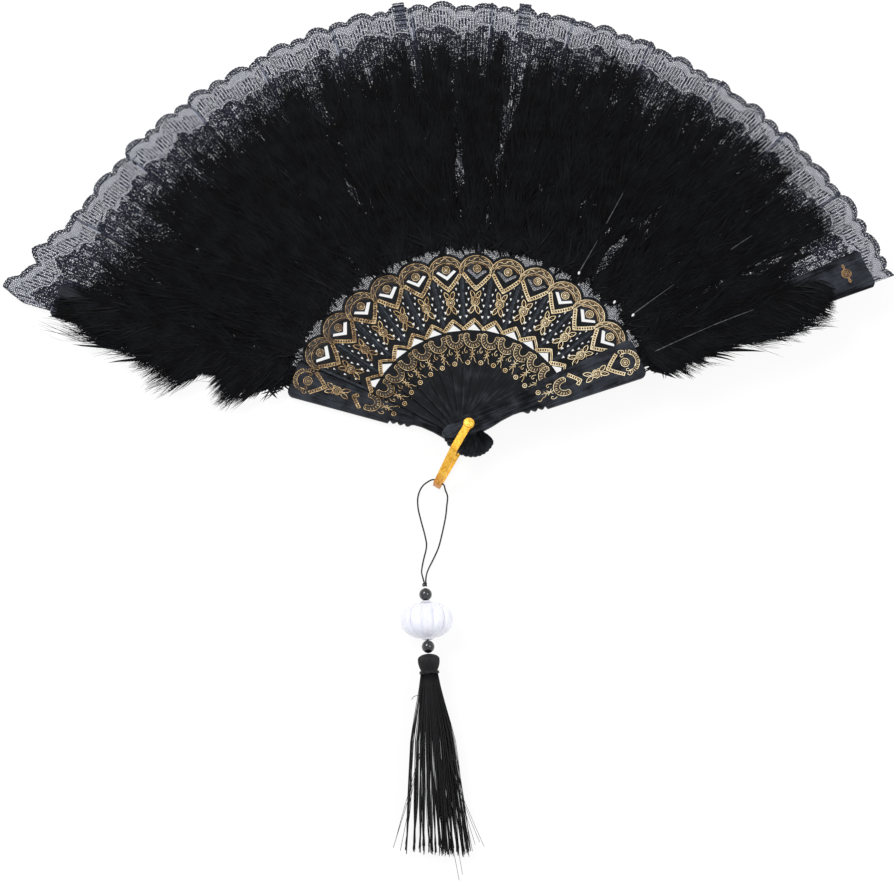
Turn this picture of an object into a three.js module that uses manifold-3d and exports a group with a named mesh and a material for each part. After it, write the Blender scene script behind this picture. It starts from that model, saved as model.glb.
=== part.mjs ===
// A folding feather fan, fully open and lying face up, with a tassel on its loop.
// Millimetres, +Z up. The origin is on the rivet's axis, on the flat underside of its tail head.
// Each blade turns about the rivet at a level of its own, from the back guard, which is lowest,
// through the sticks to the front guard on top.

import * as THREE from 'three';
import { mergeGeometries, mergeVertices } from 'three/addons/utils/BufferGeometryUtils.js';
import Module from 'manifold-3d';

const wasm = await Module();
wasm.setup();

// Opening of the fan
const stickCount = 12;
const bladePitchDegrees = 10.65;
const fanLeanDegrees = 1.1;

// Stack on the rivet, from the table up
const tailHeadThickness = 0.7;
const bailArmThickness = 1.6;
const stackClearance = 0.2;
const guardThickness = 2;
const stickThickness = 1.1;
const stickGap = 0.2;

// Rivet
const rivetRadius = 1.5;
const rivetBoreClearance = 0.3;
const rivetHeadRadius = 2.7;
const frontHeadRadius = 2.1;
const frontHeadHeight = 0.9;
const rivetSides = 16;

// Heads of the blades, which fan out into a shell round the rivet
const headLength = 13.5;
const stickHeadHalfWidth = 4.6;
const guardHeadHalfWidth = 4.8;
const headArcSteps = 6;

// Inner stick: gorge, pierced body and scalloped end
const waistDistance = 14;
const stickWaistHalfWidth = 3.5;
const gorgeDistance = 30;
const gorgeHalfWidth = 3.9;
const bandDistance = 46;
const edgeOverlap = 0.4;
const scallopTipDistance = 90.6;
const scallopRadius = 10.3;
const scallopArcDegrees = 52;
const scallopArcSteps = 4;
const shoulderSetBack = 9.4;

// Openings pierced through an inner stick
const chevronSetBack = 14;
const chevronDepth = 2.4;
const chevronArmLength = 4.5;
const chevronOuterHalfWidth = 5.2;
const chevronInnerHalfWidth = 3.8;
const chevronArmEndStep = 0.9;
const triangleBaseDistance = 50.2;
const triangleHeight = 3.6;
const triangleHalfWidth = 3.6;
const dropCount = 7;
const dropSetBack = 2.4;
const dropLengthShare = 0.62;
const firstDropHalfWidth = 0.85;
const lastDropHalfWidth = 0.45;
const dropColumnShares = [0.68, 0.52];

// Slat of an inner stick, which carries the lace and the feather
const slatThickness = 0.5;
const slatHalfWidth = 1.7;
const slatTipHalfWidth = 0.9;
const slatTipDistance = 214;
const slatRootOverlap = 6;

// Guards
const guardBeadsStart = 27;
const guardNeckDistanceShares = [0.15, 0.2, 0.37, 0.59, 0.81, 0.95];
const guardNeckWidthShares = [0.9, 1.16, 1.06, 0.82, 0.7, 0.74];
const guardBeadsStartHalfWidth = 4;
const guardBeadsEndHalfWidth = 5.2;
const guardBeadCount = 3;
const guardBeadLength = 3.5;
const guardBeadHeight = 1.3;
const guardBeadSteps = 4;
const guardPlateStart = 38.2;
const guardPlateStartHalfWidth = 7;
const guardPlateSetBack = 1.4;
const guardPlateEndHalfWidth = 10;
const guardCornerRadius = 3;
const guardCornerSteps = 4;
const guardSlatThickness = 1.2;
const guardSlatStartHalfWidth = 5;
const guardSlatEndHalfWidth = 10;
const guardLength = 212;
const guardTipChamfer = 1.5;

// Lace, one panel between each pair of neighbouring blades
const laceScallopGap = 0.8;
const laceOuterRadius = 225;
const laceThickness = 0.6;
const laceEdgeScallop = 3;
const laceFoldDepth = 0.8;
const laceRadiusShares = [0, 0.35, 0.7, 0.92, 1];
const laceAcrossShares = [0, 0.11, 0.24, 0.37, 0.5, 0.63, 0.76, 0.89, 1];
const laceFoldShares = [0, 0, 1, 0.5, 0.8, 0.4, 0.5, 0, 0];
const firstLaceFoldShares = [0, 0, 0, 0.5, 0.9, 0.4, 0.5, 0, 0];
const laceEndTab = 14;
const laceTabShare = 0.24;
const laceEndLapShare = 0.2;

// Feathers, one plume on each blade
const plumeLaceSetBack = 0.8;
const plumeEnd = 207;
const frontPlumeEnd = 190;
const plumeHeight = 5;
const plumeSeatGap = 0.3;
const plumeSideGap = 0.5;
const plumeDistanceShares = [0, 0.1, 0.3, 0.55, 0.78, 0.93, 1];
const plumeWidthShares = [0.4, 0.85, 1, 1, 0.95, 0.75, 0.3];
const plumeHeightShares = [0.3, 0.8, 1, 1, 0.9, 0.7, 0.3];
const plumeSectionShares = [[1, 0], [1, 0.35], [0.6, 0.85], [0, 1], [-0.6, 0.85], [-1, 0.35], [-1, 0]];
const backFringe = 33;
const frontFringe = 25;
const fringeShares = [0.3, 0.72, 0.9, 1, 0.6, 0.36, 0.12];

// Bail, the gilt loop that joins both ends of the rivet
const bailLength = 30;
const bailWidth = 3.6;
const bailLevelLength = 14.4;
const bailEndHeight = 9.5;
const bailEndThickness = 2;
const bailEyeRadius = 2.6;
const bailCornerRadius = 2.4;
const bailDirectionDegrees = 239.5;
const bailEyeSides = 24;
const cutOverrun = 1;

// Cord of the tassel: one loop round the end of the bail, and a short run through the beads
const cordRadius = 0.4;
const cordSides = 8;
const cordSteps = 56;
const cordGap = 0.3;
const cordLoopRoute = [
  [-22.05, -73.85, 12.2], [-22.5, -71.4, 10.8], [-22.8, -68.2, 6.4], [-22.4, -64.6, 2.4],
  [-21.6, -60.6, 0.8], [-20.2, -54.5, 0.5], [-20.7, -49.6, 0.5], [-22.7, -41.5, 0.5],
  [-24.0, -35.2, 0.6], [-23.9, -29.6, 1.0], [-21.9, -25.2, 2.1], [-18.46, -22.67, 3.1],
  [-16.04, -22.12, 3.35], [-13.75, -23.35, 3.4], [-11.56, -24.76, 3.35], [-10.88, -27.13, 3.0],
  [-9.8, -30.2, 1.9], [-10.2, -34.6, 0.8], [-10.9, -40.2, 0.5], [-12.6, -48.0, 0.5],
  [-14.5, -55.0, 0.5], [-17.1, -60.8, 0.8], [-19.1, -65.0, 2.4], [-20.3, -68.6, 6.4],
  [-20.75, -71.6, 10.6], [-20.78, -73.85, 12.2],
];
const knotRadius = 1.3;
const knotPoint = [-21.4, -75.4];
const tasselDirectionDegrees = -88;

// Beads and tassel, strung along one line from the knot
const stringGap = 0.3;
const beadRadius = 3;
const beadBoreRadius = 0.7;
const beadSides = 16;
const beadRings = 8;
const lotusRadius = 12.2;
const lotusHalfLength = 9.1;
const lotusLobes = 12;
const lotusLobeSteps = 3;
const lotusLobeDepth = 1.3;
const lotusCollarRadius = 2.6;
const lotusCollarLength = 1;
const lotusRings = 8;
const tasselHeadRadius = 5.1;
const tasselHeadLength = 7.6;
const tasselNeckRadius = 3.9;
const tasselNeckLength = 2.2;
const tasselHeadSides = 20;
const bindingOuterRadius = 4.9;
const bindingLength = 1.6;
const skirtStrands = 300;
const skirtBackingRadius = 4.4;
const skirtBackingThickness = 0.9;
const skirtRootRadius = 4.05;
const skirtLength = 80;
const skirtMiddleShare = 0.36;
const skirtMiddleHalfWidth = 10.2;
const skirtEndHalfWidth = 16;
const skirtHalfHeight = 5;
const skirtRaggedness = 5;
const strandRadius = 0.14;
const strandSides = 3;

// Finishes seen on the fan
const finishes = {
  blade: { color: 0x1d1e21, roughness: 0.42, metalness: 0 },
  guard: { color: 0x1f2124, roughness: 0.38, metalness: 0 },
  gilt: { color: 0xe9b23a, roughness: 0.42, metalness: 0.6 },
  lace: { color: 0x2a2b31, roughness: 0.9, metalness: 0 },
  feather: { color: 0x0c0d0f, roughness: 0.95, metalness: 0 },
  cord: { color: 0x111112, roughness: 0.8, metalness: 0 },
  blackBead: { color: 0x121318, roughness: 0.12, metalness: 0 },
  whiteBead: { color: 0xf1f2f7, roughness: 0.2, metalness: 0 },
  thread: { color: 0x0e0e10, roughness: 0.55, metalness: 0 },
};

// Levels of the stack and angles of the blades, worked out from the sizes above
const rearArmLevel = tailHeadThickness + stackClearance;
const backGuardLevel = rearArmLevel + bailArmThickness + stackClearance;
const firstStickLevel = backGuardLevel + guardThickness + stackClearance;
const stickRise = stickThickness + stickGap;
const frontGuardLevel = firstStickLevel + stickCount * stickRise - stickGap + stackClearance;
const frontArmLevel = frontGuardLevel + guardThickness + stackClearance;
const rivetShoulderLevel = frontArmLevel + bailArmThickness + stackClearance;
const bladeCount = stickCount + 2;
const halfPitch = THREE.MathUtils.degToRad(bladePitchDegrees) / 2;
const rivetBoreRadius = rivetRadius + rivetBoreClearance;

// Distances from the rivet that follow from where the sticks' scallops end
const shoulderDistance = scallopTipDistance - shoulderSetBack;
const chevronTipDistance = scallopTipDistance - chevronSetBack;
const guardPlateEnd = scallopTipDistance - guardPlateSetBack;
const laceInnerRadius = scallopTipDistance + laceScallopGap;
const plumeStart = laceInnerRadius + plumeLaceSetBack;

// The place of a blade, numbered from the back guard at 0 to the front guard.
function bladeAngle(index) {
  const fromMiddle = (bladeCount - 1) / 2 - index;
  return THREE.MathUtils.degToRad(90 + fanLeanDegrees + fromMiddle * bladePitchDegrees);
}

function bladeLevel(index) {
  if (index === 0) return backGuardLevel;
  if (index === bladeCount - 1) return frontGuardLevel;
  return firstStickLevel + (index - 1) * stickRise;
}

// The top of a blade's slat, on which the next lace panel lies.
function slatTopLevel(index) {
  return bladeLevel(index) + (index === 0 || index === bladeCount - 1 ? guardSlatThickness : slatThickness);
}

const root = new THREE.Group();

function addPiece(name, geometry, finish, parent = root) {
  const mesh = new THREE.Mesh(geometry, new THREE.MeshStandardMaterial(finishes[finish]));
  mesh.name = name;
  parent.add(mesh);
  return mesh;
}

function toSolid(geometry) {
  const bare = geometry.clone();
  bare.deleteAttribute('normal');
  bare.deleteAttribute('uv');
  const merged = mergeVertices(bare);
  return new wasm.Manifold(new wasm.Mesh({
    numProp: 3,
    vertProperties: new Float32Array(merged.attributes.position.array),
    triVerts: new Uint32Array(merged.index.array),
  }));
}

function toGeometry(solid) {
  const mesh = solid.getMesh();
  const geometry = new THREE.BufferGeometry();
  geometry.setAttribute('position', new THREE.BufferAttribute(mesh.vertProperties, 3));
  geometry.setIndex(new THREE.BufferAttribute(mesh.triVerts, 1));
  return geometry;
}

// A plate cut to an outline that is the same on both sides of the blade's middle line. The points
// give the side with positive v, from the tail to the tip.
function symmetricPlate(halfOutline, holes, thickness) {
  const lower = halfOutline.map(([u, v]) => new THREE.Vector2(u, -v));
  const upper = halfOutline.filter(([, v]) => v > 0).map(([u, v]) => new THREE.Vector2(u, v)).reverse();
  const shape = new THREE.Shape([...lower, ...upper]);
  shape.holes = holes.map((points) => new THREE.Path(points.map(([u, v]) => new THREE.Vector2(u, v))));
  return new THREE.ExtrudeGeometry(shape, { depth: thickness, bevelEnabled: false });
}

function circlePoints(radius, sides) {
  const points = [];
  for (let i = 0; i < sides; i += 1) {
    const turn = (2 * Math.PI * i) / sides;
    points.push([radius * Math.cos(turn), radius * Math.sin(turn)]);
  }
  return points;
}

// The narrow oval head beyond the rivet, from its tail end to its full width at the rivet.
function headArc(halfWidth) {
  const points = [[-headLength, 0]];
  for (let i = 1; i <= headArcSteps; i += 1) {
    const turn = ((Math.PI / 2) * i) / headArcSteps;
    points.push([-headLength * Math.cos(turn), halfWidth * Math.sin(turn)]);
  }
  return points;
}

// A stick's half width where it meets its neighbours, which it overlaps a little.
function stickHalfWidth(distance) {
  return distance * Math.tan(halfPitch) + edgeOverlap;
}

function stickOutline() {
  const points = [
    ...headArc(stickHeadHalfWidth),
    [waistDistance, stickWaistHalfWidth],
    [gorgeDistance, gorgeHalfWidth],
    [bandDistance, stickHalfWidth(bandDistance)],
    [shoulderDistance, stickHalfWidth(shoulderDistance)],
  ];
  const centre = scallopTipDistance - scallopRadius;
  for (let i = 0; i <= scallopArcSteps; i += 1) {
    const turn = THREE.MathUtils.degToRad(scallopArcDegrees) * (1 - i / scallopArcSteps);
    points.push([centre + scallopRadius * Math.cos(turn), scallopRadius * Math.sin(turn)]);
  }
  return points;
}

// One small drop-shaped piercing, with its point towards the rivet.
function dropHole(distance, length, offset, halfWidth) {
  const tail = distance + length;
  return [[distance, offset], [tail, offset + halfWidth], [tail, offset - halfWidth]];
}

function stickHoles() {
  const armEnd = chevronTipDistance + chevronArmLength;
  const chevron = [
    [chevronTipDistance, 0],
    [armEnd, chevronOuterHalfWidth],
    [armEnd + chevronArmEndStep, chevronInnerHalfWidth],
    [chevronTipDistance + chevronDepth, 0],
    [armEnd + chevronArmEndStep, -chevronInnerHalfWidth],
    [armEnd, -chevronOuterHalfWidth],
  ];
  const triangle = [
    [triangleBaseDistance, -triangleHalfWidth],
    [triangleBaseDistance + triangleHeight, 0],
    [triangleBaseDistance, triangleHalfWidth],
  ];
  const holes = [circlePoints(rivetBoreRadius, rivetSides), chevron, triangle];
  const firstDrop = triangleBaseDistance + triangleHeight + dropSetBack;
  const spacing = (chevronTipDistance - firstDrop) / dropCount;
  const length = spacing * dropLengthShare;
  for (let i = 0; i < dropCount; i += 1) {
    const distance = firstDrop + i * spacing;
    const offset = stickHalfWidth(distance) * dropColumnShares[i % dropColumnShares.length];
    const share = i / (dropCount - 1);
    const halfWidth = firstDropHalfWidth * (1 - share) + lastDropHalfWidth * share;
    holes.push(dropHole(distance, length, offset, halfWidth));
    holes.push(dropHole(distance, length, -offset, halfWidth));
  }
  return holes;
}

function stickGeometry() {
  const body = symmetricPlate(stickOutline(), stickHoles(), stickThickness);
  const slatStart = scallopTipDistance - slatRootOverlap;
  const slatOutline = [
    [slatStart, slatHalfWidth],
    [slatTipDistance, slatTipHalfWidth],
  ];
  const slat = symmetricPlate(slatOutline, [], slatThickness);
  return toGeometry(toSolid(body).add(toSolid(slat)));
}

// The shoulder beside a guard's head and the neck that it draws in to.
function guardNeck() {
  return guardNeckDistanceShares.map((along, i) => [
    guardBeadsStart * along,
    guardHeadHalfWidth * guardNeckWidthShares[i],
  ]);
}

// The turned beads along both edges of a guard, which widen towards the plate.
function guardBeads() {
  const points = [];
  const steps = guardBeadCount * guardBeadSteps;
  for (let i = 0; i <= steps; i += 1) {
    const along = guardBeadsStart + (guardBeadLength * i) / guardBeadSteps;
    const swell = guardBeadHeight * Math.abs(Math.sin((Math.PI * i) / guardBeadSteps));
    const core = THREE.MathUtils.lerp(guardBeadsStartHalfWidth, guardBeadsEndHalfWidth, i / steps);
    points.push([along, core + swell]);
  }
  return points;
}

function guardOutline() {
  const points = [
    ...headArc(guardHeadHalfWidth),
    ...guardNeck(),
    ...guardBeads(),
    [guardPlateStart, guardPlateStartHalfWidth],
  ];
  for (let i = 0; i <= guardCornerSteps; i += 1) {
    const turn = (Math.PI / 2) * (1 - i / guardCornerSteps);
    points.push([
      guardPlateEnd - guardCornerRadius + guardCornerRadius * Math.cos(turn),
      guardPlateEndHalfWidth - guardCornerRadius + guardCornerRadius * Math.sin(turn),
    ]);
  }
  return points;
}

function guardGeometry() {
  const plate = symmetricPlate(guardOutline(), [circlePoints(rivetBoreRadius, rivetSides)], guardThickness);
  const slatOutline = [
    [guardPlateEnd - slatRootOverlap, guardSlatStartHalfWidth],
    [guardLength - guardTipChamfer, guardSlatEndHalfWidth],
    [guardLength, guardSlatEndHalfWidth - guardTipChamfer],
  ];
  const slat = symmetricPlate(slatOutline, [], guardSlatThickness);
  return toGeometry(toSolid(plate).add(toSolid(slat)));
}

// A closed skin between two grids of points, one above the other, with the same rows and columns.
function slabBetweenGrids(top, bottom) {
  const rows = top.length;
  const columns = top[0].length;
  const positions = [...top.flat(2), ...bottom.flat(2)];
  const index = [];
  const at = (layer, row, column) => layer * rows * columns + row * columns + column;
  const quad = (a, b, c, d) => index.push(a, c, b, a, d, c);
  for (let r = 0; r + 1 < rows; r += 1) {
    for (let c = 0; c + 1 < columns; c += 1) {
      quad(at(0, r, c), at(0, r + 1, c), at(0, r + 1, c + 1), at(0, r, c + 1));
      quad(at(1, r, c), at(1, r, c + 1), at(1, r + 1, c + 1), at(1, r + 1, c));
    }
  }
  for (let c = 0; c + 1 < columns; c += 1) {
    quad(at(0, 0, c), at(0, 0, c + 1), at(1, 0, c + 1), at(1, 0, c));
    quad(at(0, rows - 1, c + 1), at(0, rows - 1, c), at(1, rows - 1, c), at(1, rows - 1, c + 1));
  }
  for (let r = 0; r + 1 < rows; r += 1) {
    quad(at(0, r + 1, 0), at(0, r, 0), at(1, r, 0), at(1, r + 1, 0));
    quad(at(0, r, columns - 1), at(0, r + 1, columns - 1), at(1, r + 1, columns - 1), at(1, r, columns - 1));
  }
  const geometry = new THREE.BufferGeometry();
  geometry.setAttribute('position', new THREE.Float32BufferAttribute(positions, 3));
  geometry.setIndex(index);
  return geometry;
}

// How far the lace's edge stands beyond its common radius, which is more past the back guard's tip.
function laceEdgeReach(across, column, panel) {
  const scallop = column % 2 === 0 ? -laceEdgeScallop / 2 : laceEdgeScallop / 2;
  const tab = panel === 1 ? laceEndTab * Math.max(0, 1 - Math.max(across, 0) / laceTabShare) : 0;
  return scallop + tab;
}

// Lace between blade panel - 1 and blade panel. It lies on the first one's slat, passes under the
// second one's and sinks into shallow folds between them. The end panels lap over the guards.
function laceGeometry(panel) {
  const seat = slatTopLevel(panel - 1);
  const level = seat + (bladeLevel(panel) - seat - laceThickness) / 2;
  const folds = panel === 1 ? firstLaceFoldShares : laceFoldShares;
  const columns = laceAcrossShares.map((across, i) => [across, folds[i]]);
  if (panel === 1) columns.unshift([-laceEndLapShare, 0]);
  if (panel === bladeCount - 1) columns.push([1 + laceEndLapShare, 0]);
  const top = [];
  const bottom = [];
  for (const share of laceRadiusShares) {
    const topRow = [];
    const bottomRow = [];
    columns.forEach(([across, fold], column) => {
      const reach = share === 1 ? laceEdgeReach(across, column, panel) : 0;
      const radius = laceInnerRadius + share * (laceOuterRadius - laceInnerRadius) + reach;
      const angle = bladeAngle(panel - 1) + (bladeAngle(panel) - bladeAngle(panel - 1)) * across;
      const height = level - laceFoldDepth * fold * share;
      topRow.push([radius * Math.cos(angle), radius * Math.sin(angle), height + laceThickness]);
      bottomRow.push([radius * Math.cos(angle), radius * Math.sin(angle), height]);
    });
    top.push(topRow);
    bottom.push(bottomRow);
  }
  return slabBetweenGrids(top, bottom);
}

// A closed skin through rings of points, with flat ends.
function skinThroughRings(rings) {
  const size = rings[0].length;
  const index = [];
  for (let r = 0; r + 1 < rings.length; r += 1) {
    for (let i = 0; i < size; i += 1) {
      const j = (i + 1) % size;
      const a = r * size + i;
      const b = r * size + j;
      index.push(a, b, b + size, a, b + size, a + size);
    }
  }
  const last = (rings.length - 1) * size;
  for (let i = 1; i + 1 < size; i += 1) {
    index.push(0, i + 1, i);
    index.push(last, last + i, last + i + 1);
  }
  const geometry = new THREE.BufferGeometry();
  geometry.setAttribute('position', new THREE.Float32BufferAttribute(rings.flat(2), 3));
  geometry.setIndex(index);
  return geometry;
}

// A plume lies along its blade on the lace and fills the blade's share of the opening. The guards'
// plumes reach further out, past the guard's outer edge.
function plumeGeometry(blade) {
  const end = blade === bladeCount - 1 ? frontPlumeEnd : plumeEnd;
  const rings = plumeDistanceShares.map((share, station) => {
    const distance = plumeStart + share * (end - plumeStart);
    const inner = (distance * Math.tan(halfPitch) - plumeSideGap) * plumeWidthShares[station];
    const left = blade === 0 ? backFringe * fringeShares[station] : inner;
    const right = blade === bladeCount - 1 ? frontFringe * fringeShares[station] : inner;
    const height = plumeHeight * plumeHeightShares[station];
    return plumeSectionShares.map(([across, up]) => [
      distance,
      across * (across > 0 ? left : right),
      up * height,
    ]);
  });
  return skinThroughRings(rings);
}

// The bail's side view, in its distance from the rivet and its height. The rear arm is level. The
// front arm is level over the heads and then slants down to the low closed end.
function bailOutline() {
  const low = rearArmLevel;
  const high = frontArmLevel + bailArmThickness;
  const cornerAt = bailLength - bailCornerRadius;
  const endTop = low + bailEndHeight;
  const slant = Math.atan2(high - endTop, cornerAt - bailLevelLength);
  const innerEnd = bailLength - bailEndThickness;
  const innerDrop = (innerEnd - bailLevelLength) * Math.tan(slant) + bailArmThickness / Math.cos(slant);
  const shape = new THREE.Shape();
  shape.moveTo(0, low);
  shape.lineTo(cornerAt, low);
  shape.absarc(cornerAt, low + bailCornerRadius, bailCornerRadius, -Math.PI / 2, 0);
  shape.absarc(cornerAt, endTop - bailCornerRadius, bailCornerRadius, 0, Math.PI / 2 - slant);
  shape.lineTo(bailLevelLength, high);
  shape.lineTo(0, high);
  shape.lineTo(0, high - bailArmThickness);
  shape.lineTo(bailLevelLength - bailArmThickness * Math.tan(slant / 2), high - bailArmThickness);
  shape.lineTo(innerEnd, high - innerDrop);
  shape.lineTo(innerEnd, low + bailArmThickness);
  shape.lineTo(0, low + bailArmThickness);
  shape.closePath();
  return shape;
}

function disc(radius, low, high, sides) {
  const geometry = new THREE.CylinderGeometry(radius, radius, high - low, sides);
  geometry.rotateX(Math.PI / 2);
  geometry.translate(0, 0, (low + high) / 2);
  return geometry;
}

function bailGeometry() {
  const loop = new THREE.ExtrudeGeometry(bailOutline(), {
    depth: bailWidth,
    bevelEnabled: false,
    curveSegments: guardCornerSteps,
  });
  loop.translate(0, 0, -bailWidth / 2);
  loop.rotateX(Math.PI / 2);
  const rearTop = rearArmLevel + bailArmThickness;
  const frontTop = frontArmLevel + bailArmThickness;
  const bore = disc(rivetBoreRadius, rearArmLevel - cutOverrun, frontTop + cutOverrun, bailEyeSides);
  const solid = toSolid(loop)
    .add(toSolid(disc(bailEyeRadius, rearArmLevel, rearTop, bailEyeSides)))
    .add(toSolid(disc(bailEyeRadius, frontArmLevel, frontTop, bailEyeSides)))
    .subtract(toSolid(bore));
  return toGeometry(solid);
}

// A turned solid about +Z. The profile's points are [radius, height], from the bottom up.
function turned(profile, sides) {
  const geometry = new THREE.LatheGeometry(profile.map(([r, h]) => new THREE.Vector2(r, h)), sides);
  geometry.rotateX(Math.PI / 2);
  return toGeometry(toSolid(geometry));
}

function rivetGeometry() {
  return turned([
    [0, 0],
    [rivetHeadRadius, 0],
    [rivetHeadRadius, tailHeadThickness],
    [rivetRadius, tailHeadThickness],
    [rivetRadius, rivetShoulderLevel],
    [frontHeadRadius, rivetShoulderLevel],
    [frontHeadRadius, rivetShoulderLevel + frontHeadHeight / 2],
    [0, rivetShoulderLevel + frontHeadHeight],
  ], rivetSides);
}

// A tube of the cord's section along a curve.
function cordGeometry(curve, steps) {
  const section = new THREE.Shape(
    circlePoints(cordRadius, cordSides).map(([x, y]) => new THREE.Vector2(x, y)),
  );
  return new THREE.ExtrudeGeometry(section, { steps, extrudePath: curve, bevelEnabled: false });
}

function cordLoopGeometry() {
  const points = cordLoopRoute.map((p) => new THREE.Vector3(...p));
  return cordGeometry(new THREE.CatmullRomCurve3(points, false, 'centripetal'), cordSteps);
}

// A round bead with a bore along its length. It lies from 0 to twice its radius.
function beadGeometry() {
  const profile = [];
  const first = Math.asin(beadBoreRadius / beadRadius);
  for (let i = 0; i <= beadRings; i += 1) {
    const turn = first + ((Math.PI - 2 * first) * i) / beadRings;
    profile.push([beadRadius * Math.sin(turn), beadRadius * (1 - Math.cos(turn))]);
  }
  profile.push(profile[0]);
  return turned(profile, beadSides);
}

// The lotus bead: a squat round bead with lobes like petals, drawn in to a small collar at each end.
function lotusGeometry() {
  const around = lotusLobes * lotusLobeSteps;
  const bodyHalf = lotusHalfLength - lotusCollarLength;
  const start = Math.asin(lotusCollarRadius / lotusRadius);
  const stations = [[beadBoreRadius, 0, 0], [lotusCollarRadius, 0, 0]];
  for (let i = 0; i <= lotusRings; i += 1) {
    const turn = start + ((Math.PI - 2 * start) * i) / lotusRings;
    const height = lotusHalfLength - (bodyHalf * Math.cos(turn)) / Math.cos(start);
    stations.push([lotusRadius * Math.sin(turn), height, Math.sin(turn) ** 2]);
  }
  const end = 2 * lotusHalfLength;
  stations.push([lotusCollarRadius, end, 0], [beadBoreRadius, end, 0]);
  const rings = stations.map(([radius, height, lobing]) => {
    const ring = [];
    for (let i = 0; i < around; i += 1) {
      const turn = (2 * Math.PI * i) / around;
      const lobe = 1 - Math.abs(Math.cos((lotusLobes * turn) / 2));
      const r = radius - lotusLobeDepth * lobing * lobe;
      ring.push([r * Math.cos(turn), r * Math.sin(turn), height]);
    }
    return ring;
  });
  const index = [];
  for (let s = 0; s < rings.length; s += 1) {
    const next = (s + 1) % rings.length;
    for (let i = 0; i < around; i += 1) {
      const j = (i + 1) % around;
      const a = s * around + i;
      const b = s * around + j;
      const c = next * around + j;
      const d = next * around + i;
      index.push(a, b, c, a, c, d);
    }
  }
  const geometry = new THREE.BufferGeometry();
  geometry.setAttribute('position', new THREE.Float32BufferAttribute(rings.flat(2), 3));
  geometry.setIndex(index);
  return geometry;
}

// The bound top of the tassel: a rounded cap of folded thread over a narrower neck.
function tasselHeadGeometry() {
  const crown = tasselHeadRadius;
  const length = tasselHeadLength;
  const shoulderShares = [[0.62, 0.03], [0.94, 0.2], [1, 0.45], [0.93, 0.85], [0.86, 1]];
  const profile = [[0, 0]];
  for (const [wide, along] of shoulderShares) profile.push([crown * wide, length * along]);
  profile.push([tasselNeckRadius, length]);
  profile.push([tasselNeckRadius, length + tasselNeckLength]);
  profile.push([0, length + tasselNeckLength]);
  return turned(profile, tasselHeadSides);
}

function bindingGeometry() {
  const inner = tasselNeckRadius + stringGap;
  const outer = bindingOuterRadius;
  const side = [[inner, 0], [outer, 0], [outer, bindingLength], [inner, bindingLength]];
  return turned([...side, side[0]], tasselHeadSides);
}

// One strand, from inside the backing to its free end, spreading with all the others so that none
// cross. The place is its share of the tassel's half width and half height.
function strandGeometry(place, endDistance) {
  const stations = [
    [skirtBackingThickness / 2, skirtRootRadius, skirtRootRadius],
    [skirtLength * skirtMiddleShare, skirtMiddleHalfWidth, skirtHalfHeight],
    [endDistance, skirtEndHalfWidth, skirtHalfHeight],
  ];
  const rings = stations.map(([along, halfWidth, halfHeight]) => (
    circlePoints(strandRadius, strandSides).map(([x, y]) => [
      place.x * halfHeight + x,
      place.y * halfWidth + y,
      along,
    ])
  ));
  return skinThroughRings(rings);
}

// The strands stand at even spacing over the backing, by the sunflower rule.
function skirtGeometry() {
  const goldenAngle = Math.PI * (3 - Math.sqrt(5));
  const strands = [];
  for (let i = 0; i < skirtStrands; i += 1) {
    const distance = Math.sqrt((i + i + 1) / (2 * skirtStrands));
    const turn = goldenAngle * i;
    const place = new THREE.Vector2(distance * Math.cos(turn), distance * Math.sin(turn));
    const cut = skirtRaggedness * Math.abs(Math.sin(i * goldenAngle * Math.SQRT2));
    strands.push(strandGeometry(place, skirtLength - cut));
  }
  const backing = disc(skirtBackingRadius, 0, skirtBackingThickness, tasselHeadSides);
  return toGeometry(toSolid(backing).add(toSolid(mergeGeometries(strands))));
}

// Blades, each with its lace panel and its plume
const guardBlade = guardGeometry();
const stickBlade = stickGeometry();
for (let blade = 0; blade < bladeCount; blade += 1) {
  const turning = new THREE.Group();
  turning.rotation.z = bladeAngle(blade);
  root.add(turning);
  const label = String(blade).padStart(2, '0');
  const isBack = blade === 0;
  const isFront = blade === bladeCount - 1;
  const name = isBack ? 'back_guard' : isFront ? 'front_guard' : `stick_${label}`;
  const finish = isBack || isFront ? 'guard' : 'blade';
  const mesh = addPiece(name, isBack || isFront ? guardBlade : stickBlade, finish, turning);
  mesh.position.z = bladeLevel(blade);
  const plume = addPiece(`feather_${label}`, plumeGeometry(blade), 'feather', turning);
  const carriedOn = isFront ? slatTopLevel(blade) : bladeLevel(blade + 1);
  plume.position.z = carriedOn + plumeSeatGap;
}
for (let panel = 1; panel < bladeCount; panel += 1) {
  addPiece(`lace_${String(panel).padStart(2, '0')}`, laceGeometry(panel), 'lace');
}

addPiece('rivet', rivetGeometry(), 'gilt');
const bail = addPiece('bail', bailGeometry(), 'gilt');
bail.rotation.z = THREE.MathUtils.degToRad(bailDirectionDegrees);

// The tassel's line of pieces, each from its own distance along the line. The line is level through
// the beads, at the lotus bead's own radius above the table, and dips from there to the skirt's end.
const stringing = new THREE.Group();
stringing.position.set(knotPoint[0], knotPoint[1], lotusRadius);
stringing.rotation.order = 'ZYX';
stringing.rotation.set(0, Math.PI / 2, THREE.MathUtils.degToRad(tasselDirectionDegrees));
root.add(stringing);

const upperBeadAt = knotRadius + stringGap;
const lotusAt = upperBeadAt + 2 * beadRadius + stringGap;
const lowerBeadAt = lotusAt + 2 * lotusHalfLength + stringGap;
const tasselAt = lowerBeadAt + 2 * beadRadius + stringGap;
const bindingAt = tasselHeadLength + (tasselNeckLength - bindingLength) / 2;
const skirtAt = tasselHeadLength + tasselNeckLength + stringGap;

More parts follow.
